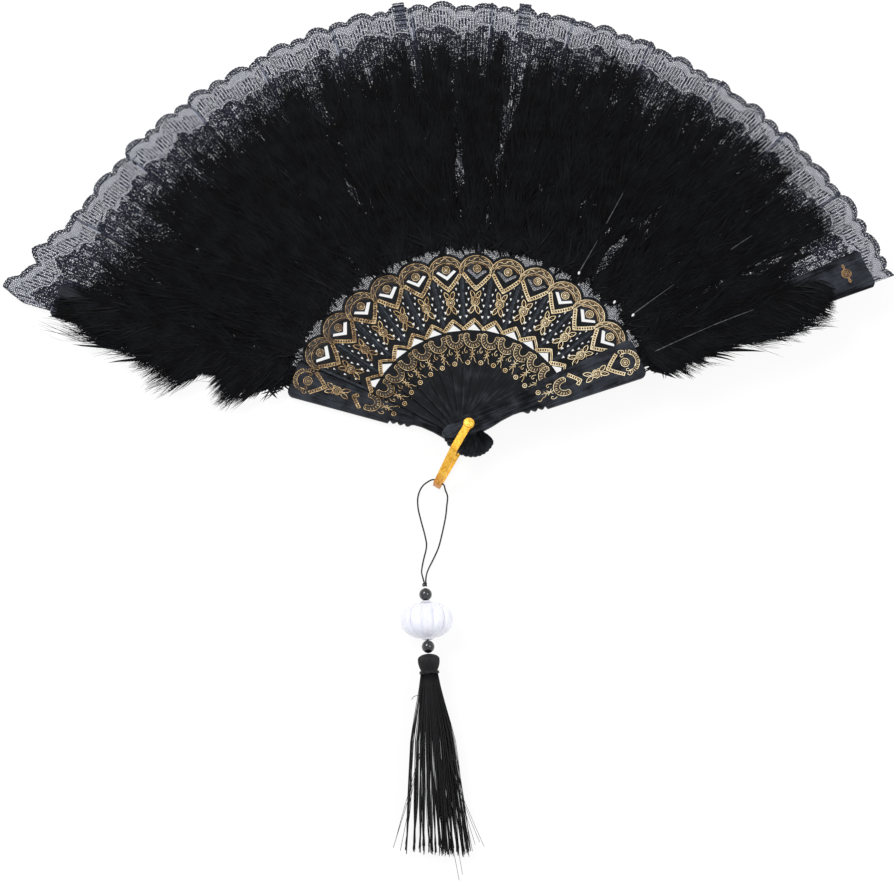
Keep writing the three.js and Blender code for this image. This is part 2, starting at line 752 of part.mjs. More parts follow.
addPiece('cord_loop', cordLoopGeometry(), 'cord');
const knot = toGeometry(toSolid(new THREE.SphereGeometry(knotRadius, cordSides, cordSides)));
addPiece('cord_knot', knot, 'cord', stringing);
addPiece('upper_bead', beadGeometry(), 'blackBead', stringing).position.z = upperBeadAt;
addPiece('lotus_bead', lotusGeometry(), 'whiteBead', stringing).position.z = lotusAt;
addPiece('lower_bead', beadGeometry(), 'blackBead', stringing).position.z = lowerBeadAt;
const beadCordStart = new THREE.Vector3(0, 0, upperBeadAt);
const beadCordEnd = new THREE.Vector3(0, 0, tasselAt - cordGap);
addPiece('bead_cord', cordGeometry(new THREE.LineCurve3(beadCordStart, beadCordEnd), 1), 'cord', stringing);

const tassel = new THREE.Group();
tassel.position.z = tasselAt;
tassel.rotation.y = Math.atan2(lotusRadius - skirtHalfHeight - strandRadius, skirtAt + skirtLength);
stringing.add(tassel);
addPiece('tassel_head', tasselHeadGeometry(), 'thread', tassel);
addPiece('tassel_binding', bindingGeometry(), 'thread', tassel).position.z = bindingAt;
addPiece('tassel_skirt', skirtGeometry(), 'thread', tassel).position.z = skirtAt;

export default root;
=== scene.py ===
"""A folding feather fan, open and face up on a white table, with a beaded tassel on its bail.

The fan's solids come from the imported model. Lengths below are in millimetres unless a name says
otherwise, and each piece is scaled to metres as it is made.
"""
import math
from functools import partial

import bpy
import numpy as np
from mathutils import Matrix, Vector


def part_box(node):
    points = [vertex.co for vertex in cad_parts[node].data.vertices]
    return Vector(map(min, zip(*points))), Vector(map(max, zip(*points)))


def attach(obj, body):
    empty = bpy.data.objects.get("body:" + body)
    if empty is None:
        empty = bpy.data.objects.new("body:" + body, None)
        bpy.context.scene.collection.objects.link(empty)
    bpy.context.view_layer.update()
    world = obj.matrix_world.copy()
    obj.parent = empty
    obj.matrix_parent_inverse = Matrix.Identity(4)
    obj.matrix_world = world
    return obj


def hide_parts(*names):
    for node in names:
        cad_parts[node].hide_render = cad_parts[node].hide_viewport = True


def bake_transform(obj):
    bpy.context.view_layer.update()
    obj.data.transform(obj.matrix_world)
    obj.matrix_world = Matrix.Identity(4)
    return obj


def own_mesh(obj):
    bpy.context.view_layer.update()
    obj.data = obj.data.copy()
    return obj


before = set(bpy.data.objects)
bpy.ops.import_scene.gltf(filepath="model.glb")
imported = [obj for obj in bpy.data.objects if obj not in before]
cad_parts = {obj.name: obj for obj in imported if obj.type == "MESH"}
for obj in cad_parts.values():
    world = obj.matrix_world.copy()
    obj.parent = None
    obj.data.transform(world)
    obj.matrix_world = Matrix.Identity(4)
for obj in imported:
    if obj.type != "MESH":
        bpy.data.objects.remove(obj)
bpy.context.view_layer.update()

# Studio: a white table seen as pure white, a soft even sky, and two broad lamps that give the
# plastic and the beads their highlights. The camera looks down on the fan from in front.
MM = 0.001

CAMERA_AIM = (-9.57, -3.15, 0.0)
CAMERA_DISTANCE = 1000.0
CAMERA_AZIMUTH = -7.84
CAMERA_ELEVATION = 74.12
CAMERA_ROLL = 7.22
CAMERA_LENS = 83.104
SENSOR_WIDTH = 36.0

az, el, roll = (math.radians(a) for a in (CAMERA_AZIMUTH, CAMERA_ELEVATION, CAMERA_ROLL))
toward_camera = Vector((math.sin(az) * math.cos(el), -math.cos(az) * math.cos(el), math.sin(el)))
level_right = (-toward_camera).cross(Vector((0, 0, 1))).normalized()
level_up = level_right.cross(-toward_camera)
camera_x = math.cos(roll) * level_right + math.sin(roll) * level_up
camera_y = -math.sin(roll) * level_right + math.cos(roll) * level_up
camera_data = bpy.data.cameras.new("camera")
camera_data.sensor_fit = "HORIZONTAL"
camera_data.sensor_width = SENSOR_WIDTH
camera_data.lens = CAMERA_LENS
camera = bpy.data.objects.new("camera", camera_data)
bpy.context.scene.collection.objects.link(camera)
camera_axes = Matrix((camera_x, camera_y, toward_camera)).transposed().to_4x4()
camera_at = (Vector(CAMERA_AIM) + CAMERA_DISTANCE * toward_camera) * MM
camera.matrix_world = Matrix.Translation(camera_at) @ camera_axes
bpy.context.scene.camera = camera
bpy.context.scene.view_settings.view_transform = "Standard"


class Shading:
    """The nodes of a material or of the sky, with short names for making and joining them."""

    def __init__(self, owner):
        owner.use_nodes = True
        self.nodes = owner.node_tree.nodes
        self.join = owner.node_tree.links.new

    def node(self, kind, inputs=(), **settings):
        made = self.nodes.new("ShaderNode" + kind)
        for setting, value in settings.items():
            setattr(made, setting, value)
        for socket, value in dict(inputs).items():
            self.set(made.inputs[socket], value)
        return made

    def set(self, socket, value):
        if isinstance(value, bpy.types.NodeSocket):
            self.join(value, socket)
        else:
            socket.default_value = value

    def math(self, operation, *values):
        made = self.nodes.new("ShaderNodeMath")
        made.operation = operation
        for socket, value in zip(made.inputs, values):
            self.set(socket, value)
        return made.outputs[0]

    def vector(self, operation, first, second=(0, 0, 0)):
        return self.node("VectorMath", {0: first, 1: second}, operation=operation)

    def place(self, stretch=(1, 1, 1), turn=0.0):
        """Where a point is on the piece, in metres, turned about z and then stretched."""
        here = self.node("TexCoord").outputs["Object"]
        turned = self.node("VectorRotate", {"Vector": here, "Angle": turn}, rotation_type="Z_AXIS")
        return self.vector("MULTIPLY", turned.outputs[0], stretch).outputs[0]

    def noise(self, where, scale, detail=3.0, rough=0.55):
        values = {"Vector": where, "Scale": scale, "Detail": detail, "Roughness": rough}
        return self.node("TexNoise", values).outputs["Fac"]

    def shades(self, factor, *stops):
        """A ramp of colours, each stop a place from 0 to 1 and a colour."""
        made = self.node("ValToRGB", {"Fac": factor})
        ramp = made.color_ramp
        while len(ramp.elements) < len(stops):
            ramp.elements.new(0.5)
        for element, (at, colour) in zip(ramp.elements, stops):
            element.position = at
            element.color = (*colour, 1.0)
        return made.outputs["Color"]

    def between(self, factor, low, high, start=0.0, end=1.0):
        values = {"Value": factor, "From Min": start, "From Max": end, "To Min": low, "To Max": high}
        return self.node("MapRange", values).outputs["Result"]

    def weighed(self, first, share, second):
        """Two factors added, the first by its share and the second by the rest."""
        rest = self.math("MULTIPLY", second, 1 - share)
        return self.math("ADD", self.math("MULTIPLY", first, share), rest)

    def mixed(self, factor, first, second):
        """The first colour where the factor is 0, the second where it is 1."""
        made = self.node("Mix", data_type="RGBA")
        for socket, value in (("Factor", factor), ("A", first), ("B", second)):
            self.join(value, made.inputs[socket])
        return made.outputs["Result"]


class Finish(Shading):
    """One material, on the standard surface shader."""

    def __init__(self, name, **uniform):
        self.material = bpy.data.materials.new(name)
        super().__init__(self.material)
        self.shader = self.nodes["Principled BSDF"]
        for socket, value in uniform.items():
            self.shader.inputs[socket.replace("_", " ")].default_value = value

    def wear(self, **linked):
        for socket, value in linked.items():
            self.join(value, self.shader.inputs[socket.replace("_", " ")])
        return self

    def bump(self, height, depth, strength=0.6):
        made = self.node("Bump", {"Strength": strength, "Distance": depth * MM, "Height": height})
        self.join(made.outputs[0], self.shader.inputs["Normal"])
        return self


def linear(red, green, blue):
    """A colour as seen on a screen, 0 to 255, as the linear light that a shader takes."""
    seen = (red, green, blue)
    return tuple(c / 255 / 12.92 if c <= 10 else ((c / 255 + 0.055) / 1.055) ** 2.4 for c in seen)


def piece(name, points, faces, finishes, smooth=True, face_finish=None):
    """A mesh object from points in millimetres and the indices of its faces."""
    mesh = bpy.data.meshes.new(name)
    corners = [[int(k) for k in face] for face in faces]
    mesh.from_pydata((np.asarray(points, float) * MM).tolist(), [], corners)
    mesh.update()
    for finish in finishes:
        mesh.materials.append(finish.material)
    if smooth:
        mesh.polygons.foreach_set("use_smooth", np.ones(len(mesh.polygons), bool))
    if face_finish is not None:
        mesh.polygons.foreach_set("material_index", np.asarray(face_finish, np.int32))
    made = bpy.data.objects.new(name, mesh)
    bpy.context.scene.collection.objects.link(made)
    return made


def belongs(made, body, node=None):
    """Hide the imported solid a piece stands for, if any, and hang the piece on the body it rides on."""
    if node is not None:
        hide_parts(node)
    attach(made, body)


def grained(name, noise, dark, light, rough, bump=None, stretch=(1, 1, 1), **uniform):
    """A finish ruled by one noise: colour from dark to light, each a place and a screen colour,
    then roughness and bump."""
    made = Finish(name, **uniform)
    grain = made.noise(made.place(stretch), *noise)
    stops = [(at, linear(*colour)) for at, colour in (dark, light)]
    made.wear(Base_Color=made.shades(grain, *stops), Roughness=made.between(grain, *rough))
    return made.bump(grain, *bump) if bump else made


TABLE_HALF = 1500.0
TABLE_SHADOW_SHARE = 0.1

table_finish = Finish("white_table", Roughness=0.9)
table_mottle = table_finish.noise(table_finish.place(), 3.0)
table_finish.wear(Base_Color=table_finish.shades(table_mottle, (0.3, (0.93,) * 3), (0.7, (0.96,) * 3)))
ray = table_finish.node("LightPath").outputs
seen = table_finish.math("MAXIMUM", ray["Is Camera Ray"], ray["Is Glossy Ray"])
seen = table_finish.math("MAXIMUM", seen, ray["Is Transmission Ray"])
glow = table_finish.node("Emission", {"Color": (1, 1, 1, 1), "Strength": 1.0})
share = table_finish.math("MULTIPLY", seen, 1.0 - TABLE_SHADOW_SHARE)
white = {0: share, 1: table_finish.shader.outputs[0], 2: glow.outputs[0]}
white_light = table_finish.node("MixShader", white).outputs[0]
table_finish.join(white_light, table_finish.nodes["Material Output"].inputs["Surface"])
table_corners = [(x * TABLE_HALF, y * TABLE_HALF, 0) for x, y in ((-1, -1), (1, -1), (1, 1), (-1, 1))]
table = piece("table", table_corners, [(0, 1, 2, 3)], [table_finish], smooth=False)

SKY_STRENGTH = 0.72
world = bpy.data.worlds.new("sky")
bpy.context.scene.world = world
sky = Shading(world)
ray = sky.node("LightPath").outputs
seen = sky.math("MAXIMUM", ray["Is Camera Ray"], ray["Is Transmission Ray"])
sky.nodes["Background"].inputs["Color"].default_value = (1, 1, 1, 1)
sky.join(sky.between(seen, SKY_STRENGTH, 1.0), sky.nodes["Background"].inputs["Strength"])


def lamp(name, at, size, power):
    """A square soft lamp, at a point in millimetres, that faces the fan."""
    data = bpy.data.lights.new(name, "AREA")
    data.shape = "RECTANGLE"
    data.size, data.size_y = size[0] * MM, size[1] * MM
    data.energy = power
    made = bpy.data.objects.new(name, data)
    bpy.context.scene.collection.objects.link(made)
    made.location = Vector(at) * MM
    made.rotation_euler = (-Vector(at)).to_track_quat("-Z", "Y").to_euler()
    return made


lamp("left_softbox", (-700, 500, 1300), (700, 500), 13.0)
lamp("right_softbox", (900, -100, 1400), (600, 600), 6.0)

# Cord: thin waxed cord of three twisted strands. It leaves the knot, climbs down to the table,
# runs round the closed end of the bail and comes back to the same knot.
CORD_ROUTE = [
    (-21.7, -74.8, 12.2), (-22.45, -71.4, 10.8), (-22.8, -68.2, 6.4), (-22.4, -64.6, 2.4),
    (-21.6, -60.6, 0.8), (-20.2, -54.5, 0.5), (-20.7, -49.6, 0.5), (-22.7, -41.5, 0.5),
    (-24.0, -35.2, 0.6), (-23.9, -29.6, 1.0), (-21.9, -25.2, 2.1), (-18.46, -22.67, 3.1),
    (-16.04, -22.12, 3.35), (-13.75, -23.35, 3.4), (-11.56, -24.76, 3.35), (-10.88, -27.13, 3.0),
    (-9.8, -30.2, 1.9), (-10.2, -34.6, 0.8), (-10.9, -40.2, 0.5), (-12.6, -48.0, 0.5),
    (-14.5, -55.0, 0.5), (-17.1, -60.8, 0.8), (-19.1, -65.0, 2.4), (-20.3, -68.6, 6.4),
    (-20.9, -71.8, 10.8), (-21.1, -74.8, 12.2),
]
CORD_RADIUS = 0.4
CORD_STRANDS = 3
CORD_LAY = 2.6
CORD_HOLLOW = 0.22


def smooth_route(points, step):
    """Points about a step apart along one smooth curve through the given ones."""
    given = np.asarray(points, float)
    padded = np.vstack([2 * given[0] - given[1], given, 2 * given[-1] - given[-2]])
    found = []
    for a, b, c, d in zip(padded, padded[1:], padded[2:], padded[3:]):
        count = max(2, int(np.linalg.norm(c - b) / step))
        t = (np.arange(count) / count)[:, None]
        bend = (2 * a - 5 * b + 4 * c - d) * t**2 + (3 * b - a - 3 * c + d) * t**3
        found.append(0.5 * (2 * b + (c - a) * t + bend))
    return np.vstack([*found, given[-1:]])


def along(route):
    """Distance travelled along a route at each of its points."""
    steps = np.linalg.norm(np.diff(route, axis=0), axis=1)
    return np.concatenate([[0.0], np.cumsum(steps)])


def carried_frames(route):
    """Two directions square to the route at each of its points, turning as little as they can."""
    tangents = np.gradient(route, axis=0)
    tangents /= np.linalg.norm(tangents, axis=1, keepdims=True)
    start = np.cross(tangents[0], (0.31, 0.77, 0.55))
    sides = [start / np.linalg.norm(start)]
    for tangent in tangents[1:]:
        side = sides[-1] - tangent * np.dot(sides[-1], tangent)
        sides.append(side / np.linalg.norm(side))
    sides = np.array(sides)
    return sides, np.cross(tangents, sides)


def band(a, b, sides):
    """Faces between two rings of points, one that starts at point a and one at point b."""
    ring = np.arange(sides)
    following = (ring + 1) % sides
    return zip(a + ring, a + following, b + following, b + ring)


def tube(route, radii, sides=8, strands=0, lay=1.0, depth=0.0):
    """Points and faces of a round tube along a route, with the hollows of its twisted strands."""
    across, upward = carried_frames(route)
    turn = np.linspace(0, 2 * math.pi, sides, endpoint=False)[None, :]
    radii = np.broadcast_to(np.asarray(radii, float), len(route))[:, None] * np.ones((1, sides))
    if strands:
        twist = 2 * math.pi * along(route)[:, None] / lay
        radii = radii * (1 - depth * (1 - np.abs(np.cos(strands * (turn - twist) / 2))))
    points = (
        route[:, None, :]
        + (radii * np.cos(turn))[..., None] * across[:, None, :]
        + (radii * np.sin(turn))[..., None] * upward[:, None, :]
    ).reshape(-1, 3)
    faces = []
    for k in range(len(route) - 1):
        faces += band(k * sides, (k + 1) * sides, sides)
    ring = np.arange(sides)
    return points, [*faces, ring[::-1], (len(route) - 1) * sides + ring]


# Black waxed thread: short fibres along the lay, and a dull sheen.
waxed_cord = grained(
    "waxed_cord", (2600.0, 4.0), (0.3, (12, 12, 14)), (0.72, (38, 38, 42)), (0.55, 0.85), (0.08,),
    Sheen_Weight=0.35, Sheen_Roughness=0.4, Specular_IOR_Level=0.3,
)


def twisted(name, route, radius):
    """A length of the cord along a route."""
    return piece(name, *tube(route, radius, 12, CORD_STRANDS, CORD_LAY, CORD_HOLLOW), [waxed_cord])


loop_route = smooth_route(CORD_ROUTE, 0.3)
cord_loop = twisted("tassel_cord", loop_route, CORD_RADIUS)
belongs(cord_loop, "tassel", "cord_loop")

# Knot and bead thread: the two ends of the loop are tied together in a small overhand knot. One
# run of the same cord goes on from it, straight through the beads, and is tied in the tassel.
KNOT_AT = (-21.4, -75.4, 12.2)
STRING_DIRECTION = -88.0
KNOT_SPREAD = 0.42
KNOT_LOOPS = 1.44
KNOT_DEPTH = 1.25
KNOT_CORD_RADIUS = 0.36
UPPER_BEAD_AT = 1.6
BEAD_CORD_END = 32.4

stringing = (
    Matrix.Translation(KNOT_AT)
    @ Matrix.Rotation(math.radians(STRING_DIRECTION), 4, "Z")
    @ Matrix.Rotation(math.radians(90), 4, "Y")
)


def strung(points, on=stringing):
    """Points given across, across and along the string, moved to where the string lies."""
    turn = np.array(on)[:3, :3]
    return np.asarray(points, float) @ turn.T + np.array(on)[:3, 3]


turns = np.linspace(0, 2 * math.pi, 140)
knot_line = KNOT_SPREAD * np.column_stack([
    np.sin(turns) + KNOT_LOOPS * np.sin(2 * turns),
    np.cos(turns) - KNOT_LOOPS * np.cos(2 * turns),
    -KNOT_DEPTH * np.sin(3 * turns),
])
cord_knot = twisted("tied_knot", strung(knot_line), KNOT_CORD_RADIUS)
belongs(cord_knot, "tassel", "cord_knot")
thread_line = strung([(0, 0, far) for far in np.linspace(UPPER_BEAD_AT, BEAD_CORD_END, 60)])
bead_thread = twisted("bead_thread", thread_line, CORD_RADIUS)
belongs(bead_thread, "tassel", "bead_cord")

# Bail and rivet: a gilt wire loop, cast rough, whose two eyes sit on the rivet. Its closed end is
# painted copper, a painted shade where the loop bends away. The rivet is turned brass, headed over the
# front eye.
BAIL_DIRECTION = 239.5
BAIL_LENGTH = 30.0
BAIL_PAINTED_SHADE_LENGTH = 5.5

bail_finish = Finish("rough_gilt", Metallic=0.55, Specular_IOR_Level=0.6)
bail_along = bail_finish.place(turn=math.radians(-BAIL_DIRECTION))
bail_grain = bail_finish.noise(bail_along, 900.0, 4.0, 0.6)
bail_far = bail_finish.node("SeparateXYZ", {0: bail_along}).outputs["X"]
# Painted shade: the last few millimetres of the bail's closed end are painted copper instead of gold.
painted_shade_end = bail_finish.between(bail_far, 0.0, 1.0, (BAIL_LENGTH - BAIL_PAINTED_SHADE_LENGTH) * MM, BAIL_LENGTH * MM)
bail_tone = bail_finish.weighed(bail_grain, 0.6, bail_finish.noise(bail_along, 260.0, 2.0))
bail_gold = bail_finish.shades(
    bail_tone, (0.34, linear(190, 132, 18)), (0.5, linear(240, 178, 50)), (0.66, linear(253, 212, 98)),
)
painted_shade_copper = bail_finish.shades(bail_grain, (0.35, linear(176, 98, 22)), (0.65, linear(240, 178, 96)))
bail_finish.wear(
    Base_Color=bail_finish.mixed(painted_shade_end, bail_gold, painted_shade_copper),
    Roughness=bail_finish.between(bail_grain, 0.34, 0.6),
)
bail_finish.bump(bail_grain, 0.35, 0.9)

rivet_finish = grained(
    "turned_brass", (1400.0,), (0.35, (214, 158, 30)), (0.65, (255, 214, 92)), (0.28, 0.5), (0.2,),
    Metallic=0.6, Specular_IOR_Level=0.6,
)


def dress(node, finish):
    """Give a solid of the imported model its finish."""
    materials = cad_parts[node].data.materials
    materials.clear()
    materials.append(finish.material)


dress("bail", bail_finish)
dress("rivet", rivet_finish)

# Blades: two guards and twelve sticks, moulded in satin black plastic. Each has fine draw lines
# along its length, faint mottling, and a painted highlight that makes its edges a little paler.
BLADES = 14
BLADE_PITCH = 10.65
FAN_LEAN = 1.1
FIRST_BLADE_ANGLE = 90 + FAN_LEAN + (BLADES - 1) / 2 * BLADE_PITCH
GUARDS = (0, BLADES - 1)
STICKS = range(1, BLADES - 1)


def blade_angle(i):
    """Where blade i points, in radians from the x axis. Blade 0 is the back guard."""
    return math.radians(FIRST_BLADE_ANGLE - i * BLADE_PITCH)


def blade_node(i):
    return {0: "back_guard", BLADES - 1: "front_guard"}.get(i, f"stick_{i:02d}")


def blade_top(i):
    """Height of a blade's printed face."""
    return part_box(blade_node(i))[1].z / MM


def on_blade(i, points, level=0.0):
    """Points given along the blade, across it and up from a level, moved to where blade i lies."""
    given = np.asarray(points, float)
    turn = blade_angle(i)
    x = given[:, 0] * math.cos(turn) - given[:, 1] * math.sin(turn)
    y = given[:, 0] * math.sin(turn) + given[:, 1] * math.cos(turn)
    return np.column_stack([x, y, given[:, 2] + level])


def satin_plastic(i, dark, light, gloss):
    """The plastic of blade i, its draw lines turned along it."""
    made = Finish(blade_node(i) + "_plastic", Specular_IOR_Level=gloss)
    draw = made.noise(made.place((0.05, 1, 1), -blade_angle(i)), 1500.0, 4.0, 0.6)
    mottle = made.noise(made.place(), 160.0, 3.0)
    tone = made.weighed(draw, 0.55, mottle)
    # Painted highlight: the blade's sharp edges are painted paler and bluish, as if lit.
    edge = made.between(made.node("NewGeometry").outputs["Pointiness"], 0.0, 0.35, 0.52, 0.62)
    tone_with_painted_edge_highlight = made.math("ADD", tone, edge)
    stops = (0.36, linear(*dark)), (0.62, linear(*light)), (1.0, linear(64, 68, 76))
    made.wear(
        Base_Color=made.shades(tone_with_painted_edge_highlight, *stops), Roughness=made.between(tone, 0.34, 0.56, 0.3, 0.7),
    )
    return made.bump(draw, 0.05, 0.35)


GUARD_LOOK = (9, 10, 12), (14, 15, 18), 0.045
STICK_LOOK = (8, 9, 11), (18, 20, 24), 0.1
for i in range(BLADES):
    dress(blade_node(i), satin_plastic(i, *(GUARD_LOOK if i in GUARDS else STICK_LOOK)))

# Raised ribs: each stick has a rounded rib moulded along each side, beside the pierced drops. Its
# paler bluish grey is a painted highlight, where the matt plastic catches a bluish light.
HALF_PITCH_SLOPE = math.tan(math.radians(BLADE_PITCH / 2))
RIB_FROM, RIB_TO = 53, 77
RIB_HEIGHT = 0.14
RIB_WIDTH = 1.15
RIB_SET_BACK = 0.75
# A stick's half width by distance from the rivet: its waist, its gorge and its pierced band.
STICK_AT = (14, 30, 46, 81.2)
STICK_HALF_WIDTH = (3.5, 3.9, 46 * HALF_PITCH_SLOPE + 0.4, 7.97)


def strip(points, width, height, sink=0.02, closed=False, bevel=0.3):
    """Points and faces of a raised line along points (along, across), sunk a little in its bed."""
    line = np.asarray(points, float)
    if closed:
        before, after = np.roll(line, 1, axis=0), np.roll(line, -1, axis=0)
    else:
        before = np.vstack([2 * line[0] - line[1], line[:-1]])
        after = np.vstack([line[1:], 2 * line[-1] - line[-2]])
    direction = after - before
    direction /= np.maximum(np.linalg.norm(direction, axis=1, keepdims=True), 1e-9)
    side = np.column_stack([-direction[:, 1], direction[:, 0]])
    half = np.broadcast_to(np.asarray(width, float) / 2, len(line))[:, None]
    rows = []
    for reach, level in ((1, -sink), (1 - bevel, height), (bevel - 1, height), (-1, -sink)):
        rows.append(np.column_stack([line + side * half * reach, np.full(len(line), level)]))
    made = np.stack(rows, axis=1).reshape(-1, 3)
    count = len(line)
    faces = []
    for a in range(count if closed else count - 1):
        b = (a + 1) % count
        faces += [(4 * a + k, 4 * a + k + 1, 4 * b + k + 1, 4 * b + k) for k in range(3)]
    if not closed:
        faces += [(3, 2, 1, 0), tuple(4 * (count - 1) + k for k in range(4))]
    return made, faces


def gathered(parts):
    """Several meshes as one: points, faces, and each face's number among the parts' finishes."""
    points, faces, marks, start = [], [], [], 0
    for made, its_faces, mark in parts:
        points.append(made)
        faces += [tuple(start + k for k in face) for face in its_faces]
        marks += [mark] * len(its_faces)
        start += len(made)
    return np.vstack(points), faces, marks


# Painted highlight: the ribs, moulded in the same black plastic, are coloured a paler bluish grey.
rib_painted_highlight = grained(
    "matt_rib_painted_highlight", (900.0, 3.0, 0.6), (0.4, (14, 17, 21)), (0.68, (58, 66, 76)), (0.5, 0.75), (0.05,),
    Specular_IOR_Level=0.2,
)
rib_u = np.linspace(RIB_FROM, RIB_TO, 14)
rib_v = np.interp(rib_u, STICK_AT, STICK_HALF_WIDTH) - RIB_SET_BACK
for i in STICKS:
    ribs = []
    for side in (1, -1):
        middle = np.column_stack([rib_u, side * rib_v])
        ribs.append((*strip(middle, RIB_WIDTH, RIB_HEIGHT, bevel=0.55), 0))
    points, faces, _ = gathered(ribs)
    rib = piece(f"stick_rib_{i:02d}", on_blade(i, points, blade_top(i)), faces, [rib_painted_highlight])
    belongs(rib, blade_node(i))

# Gilt print: hot-stamped gold lines over a brown shade, the same on every stick: a crescent arch
# with scrolls, a ladder chevron, a rose with leaves, a gable, a shell, and a sprig with a ring.
LINE = 0.42
FINE = 0.3
THIN = 0.24
APEX_DROP = 1.35
GOLD_HEIGHT = 0.07
SHADE_HEIGHT = 0.035
WARM_LIFT = 0.015
GOLD, SHADE, WARM = 0, 1, 2
# Painted light on the foil: its tone is lowered on the fan's left and raised on its right, over this reach.
PAINTED_LIGHT_LEAST, PAINTED_LIGHT_MOST, PAINTED_LIGHT_REACH = -0.115, 0.06, 60 * MM


def leaf_metal(name, metallic, *stops):
    """Stamped foil: fine grain, broader wear, and painted light, darker leftward and lighter rightward."""
    made = Finish(name, Metallic=metallic, Specular_IOR_Level=0.4)
    grain = made.noise(made.place(), 1900.0, 4.0, 0.65)
    worn = made.noise(made.place(), 330.0, 2.0)
    rightward = made.node("SeparateXYZ", {0: made.place()}).outputs["X"]
    painted_light_across = made.between(rightward, PAINTED_LIGHT_LEAST, PAINTED_LIGHT_MOST, -PAINTED_LIGHT_REACH, PAINTED_LIGHT_REACH)
    tone = made.math("ADD", made.weighed(grain, 0.6, worn), painted_light_across)
    stops = [(at, linear(*colour)) for at, colour in stops]
    made.wear(Base_Color=made.shades(tone, *stops), Roughness=made.between(tone, 0.36, 0.6, 0.3, 0.7))
    return made.bump(grain, 0.05)


gold_leaf = leaf_metal(
    "stamped_gold", 0.2, (0.36, (120, 86, 48)), (0.45, (214, 182, 128)), (0.6, (255, 240, 202)),
)
brown_shade = leaf_metal(
    "gold_shade", 0.1, (0.4, (11, 9, 8)), (0.52, (40, 30, 19)), (0.66, (98, 74, 45)),
)
warm_leaf = leaf_metal(
    "warm_gold", 0.15, (0.4, (40, 28, 18)), (0.5, (128, 92, 54)), (0.62, (222, 178, 122)),
)


def arc(centre, radius, start, end, count=14, squash=1.0):
    """Points on an arc in blade directions, 0 degrees pointing outward along the blade."""
    turn = np.radians(np.linspace(start, end, count))
    return np.column_stack([np.cos(turn), squash * np.sin(turn)]) * radius + centre


def bow(points, count=14):
    """A smooth line through a few points (along, across)."""
    flat = np.column_stack([np.asarray(points, float), np.zeros(len(points))])
    line = smooth_route(flat, 0.1)[:, :2]
    return line[np.linspace(0, len(line) - 1, count).round().astype(int)]


def rails(foot, arm, count, sag, gap, foot_gap):
    """Two lines a gap apart from a foot on the middle line to an arm's end, bent by a sag.

    The second starts a foot_gap farther out along the middle line."""
    outer = bow([(foot, 0), ((foot + arm[0]) / 2 + sag, arm[1] / 2), arm], count)
    axis = np.subtract(arm, (foot, 0)) / np.hypot(arm[0] - foot, arm[1])
    inner = outer + gap * np.array([axis[1], -axis[0]])
    inner[0] = (foot + foot_gap, 0)
    return outer, inner


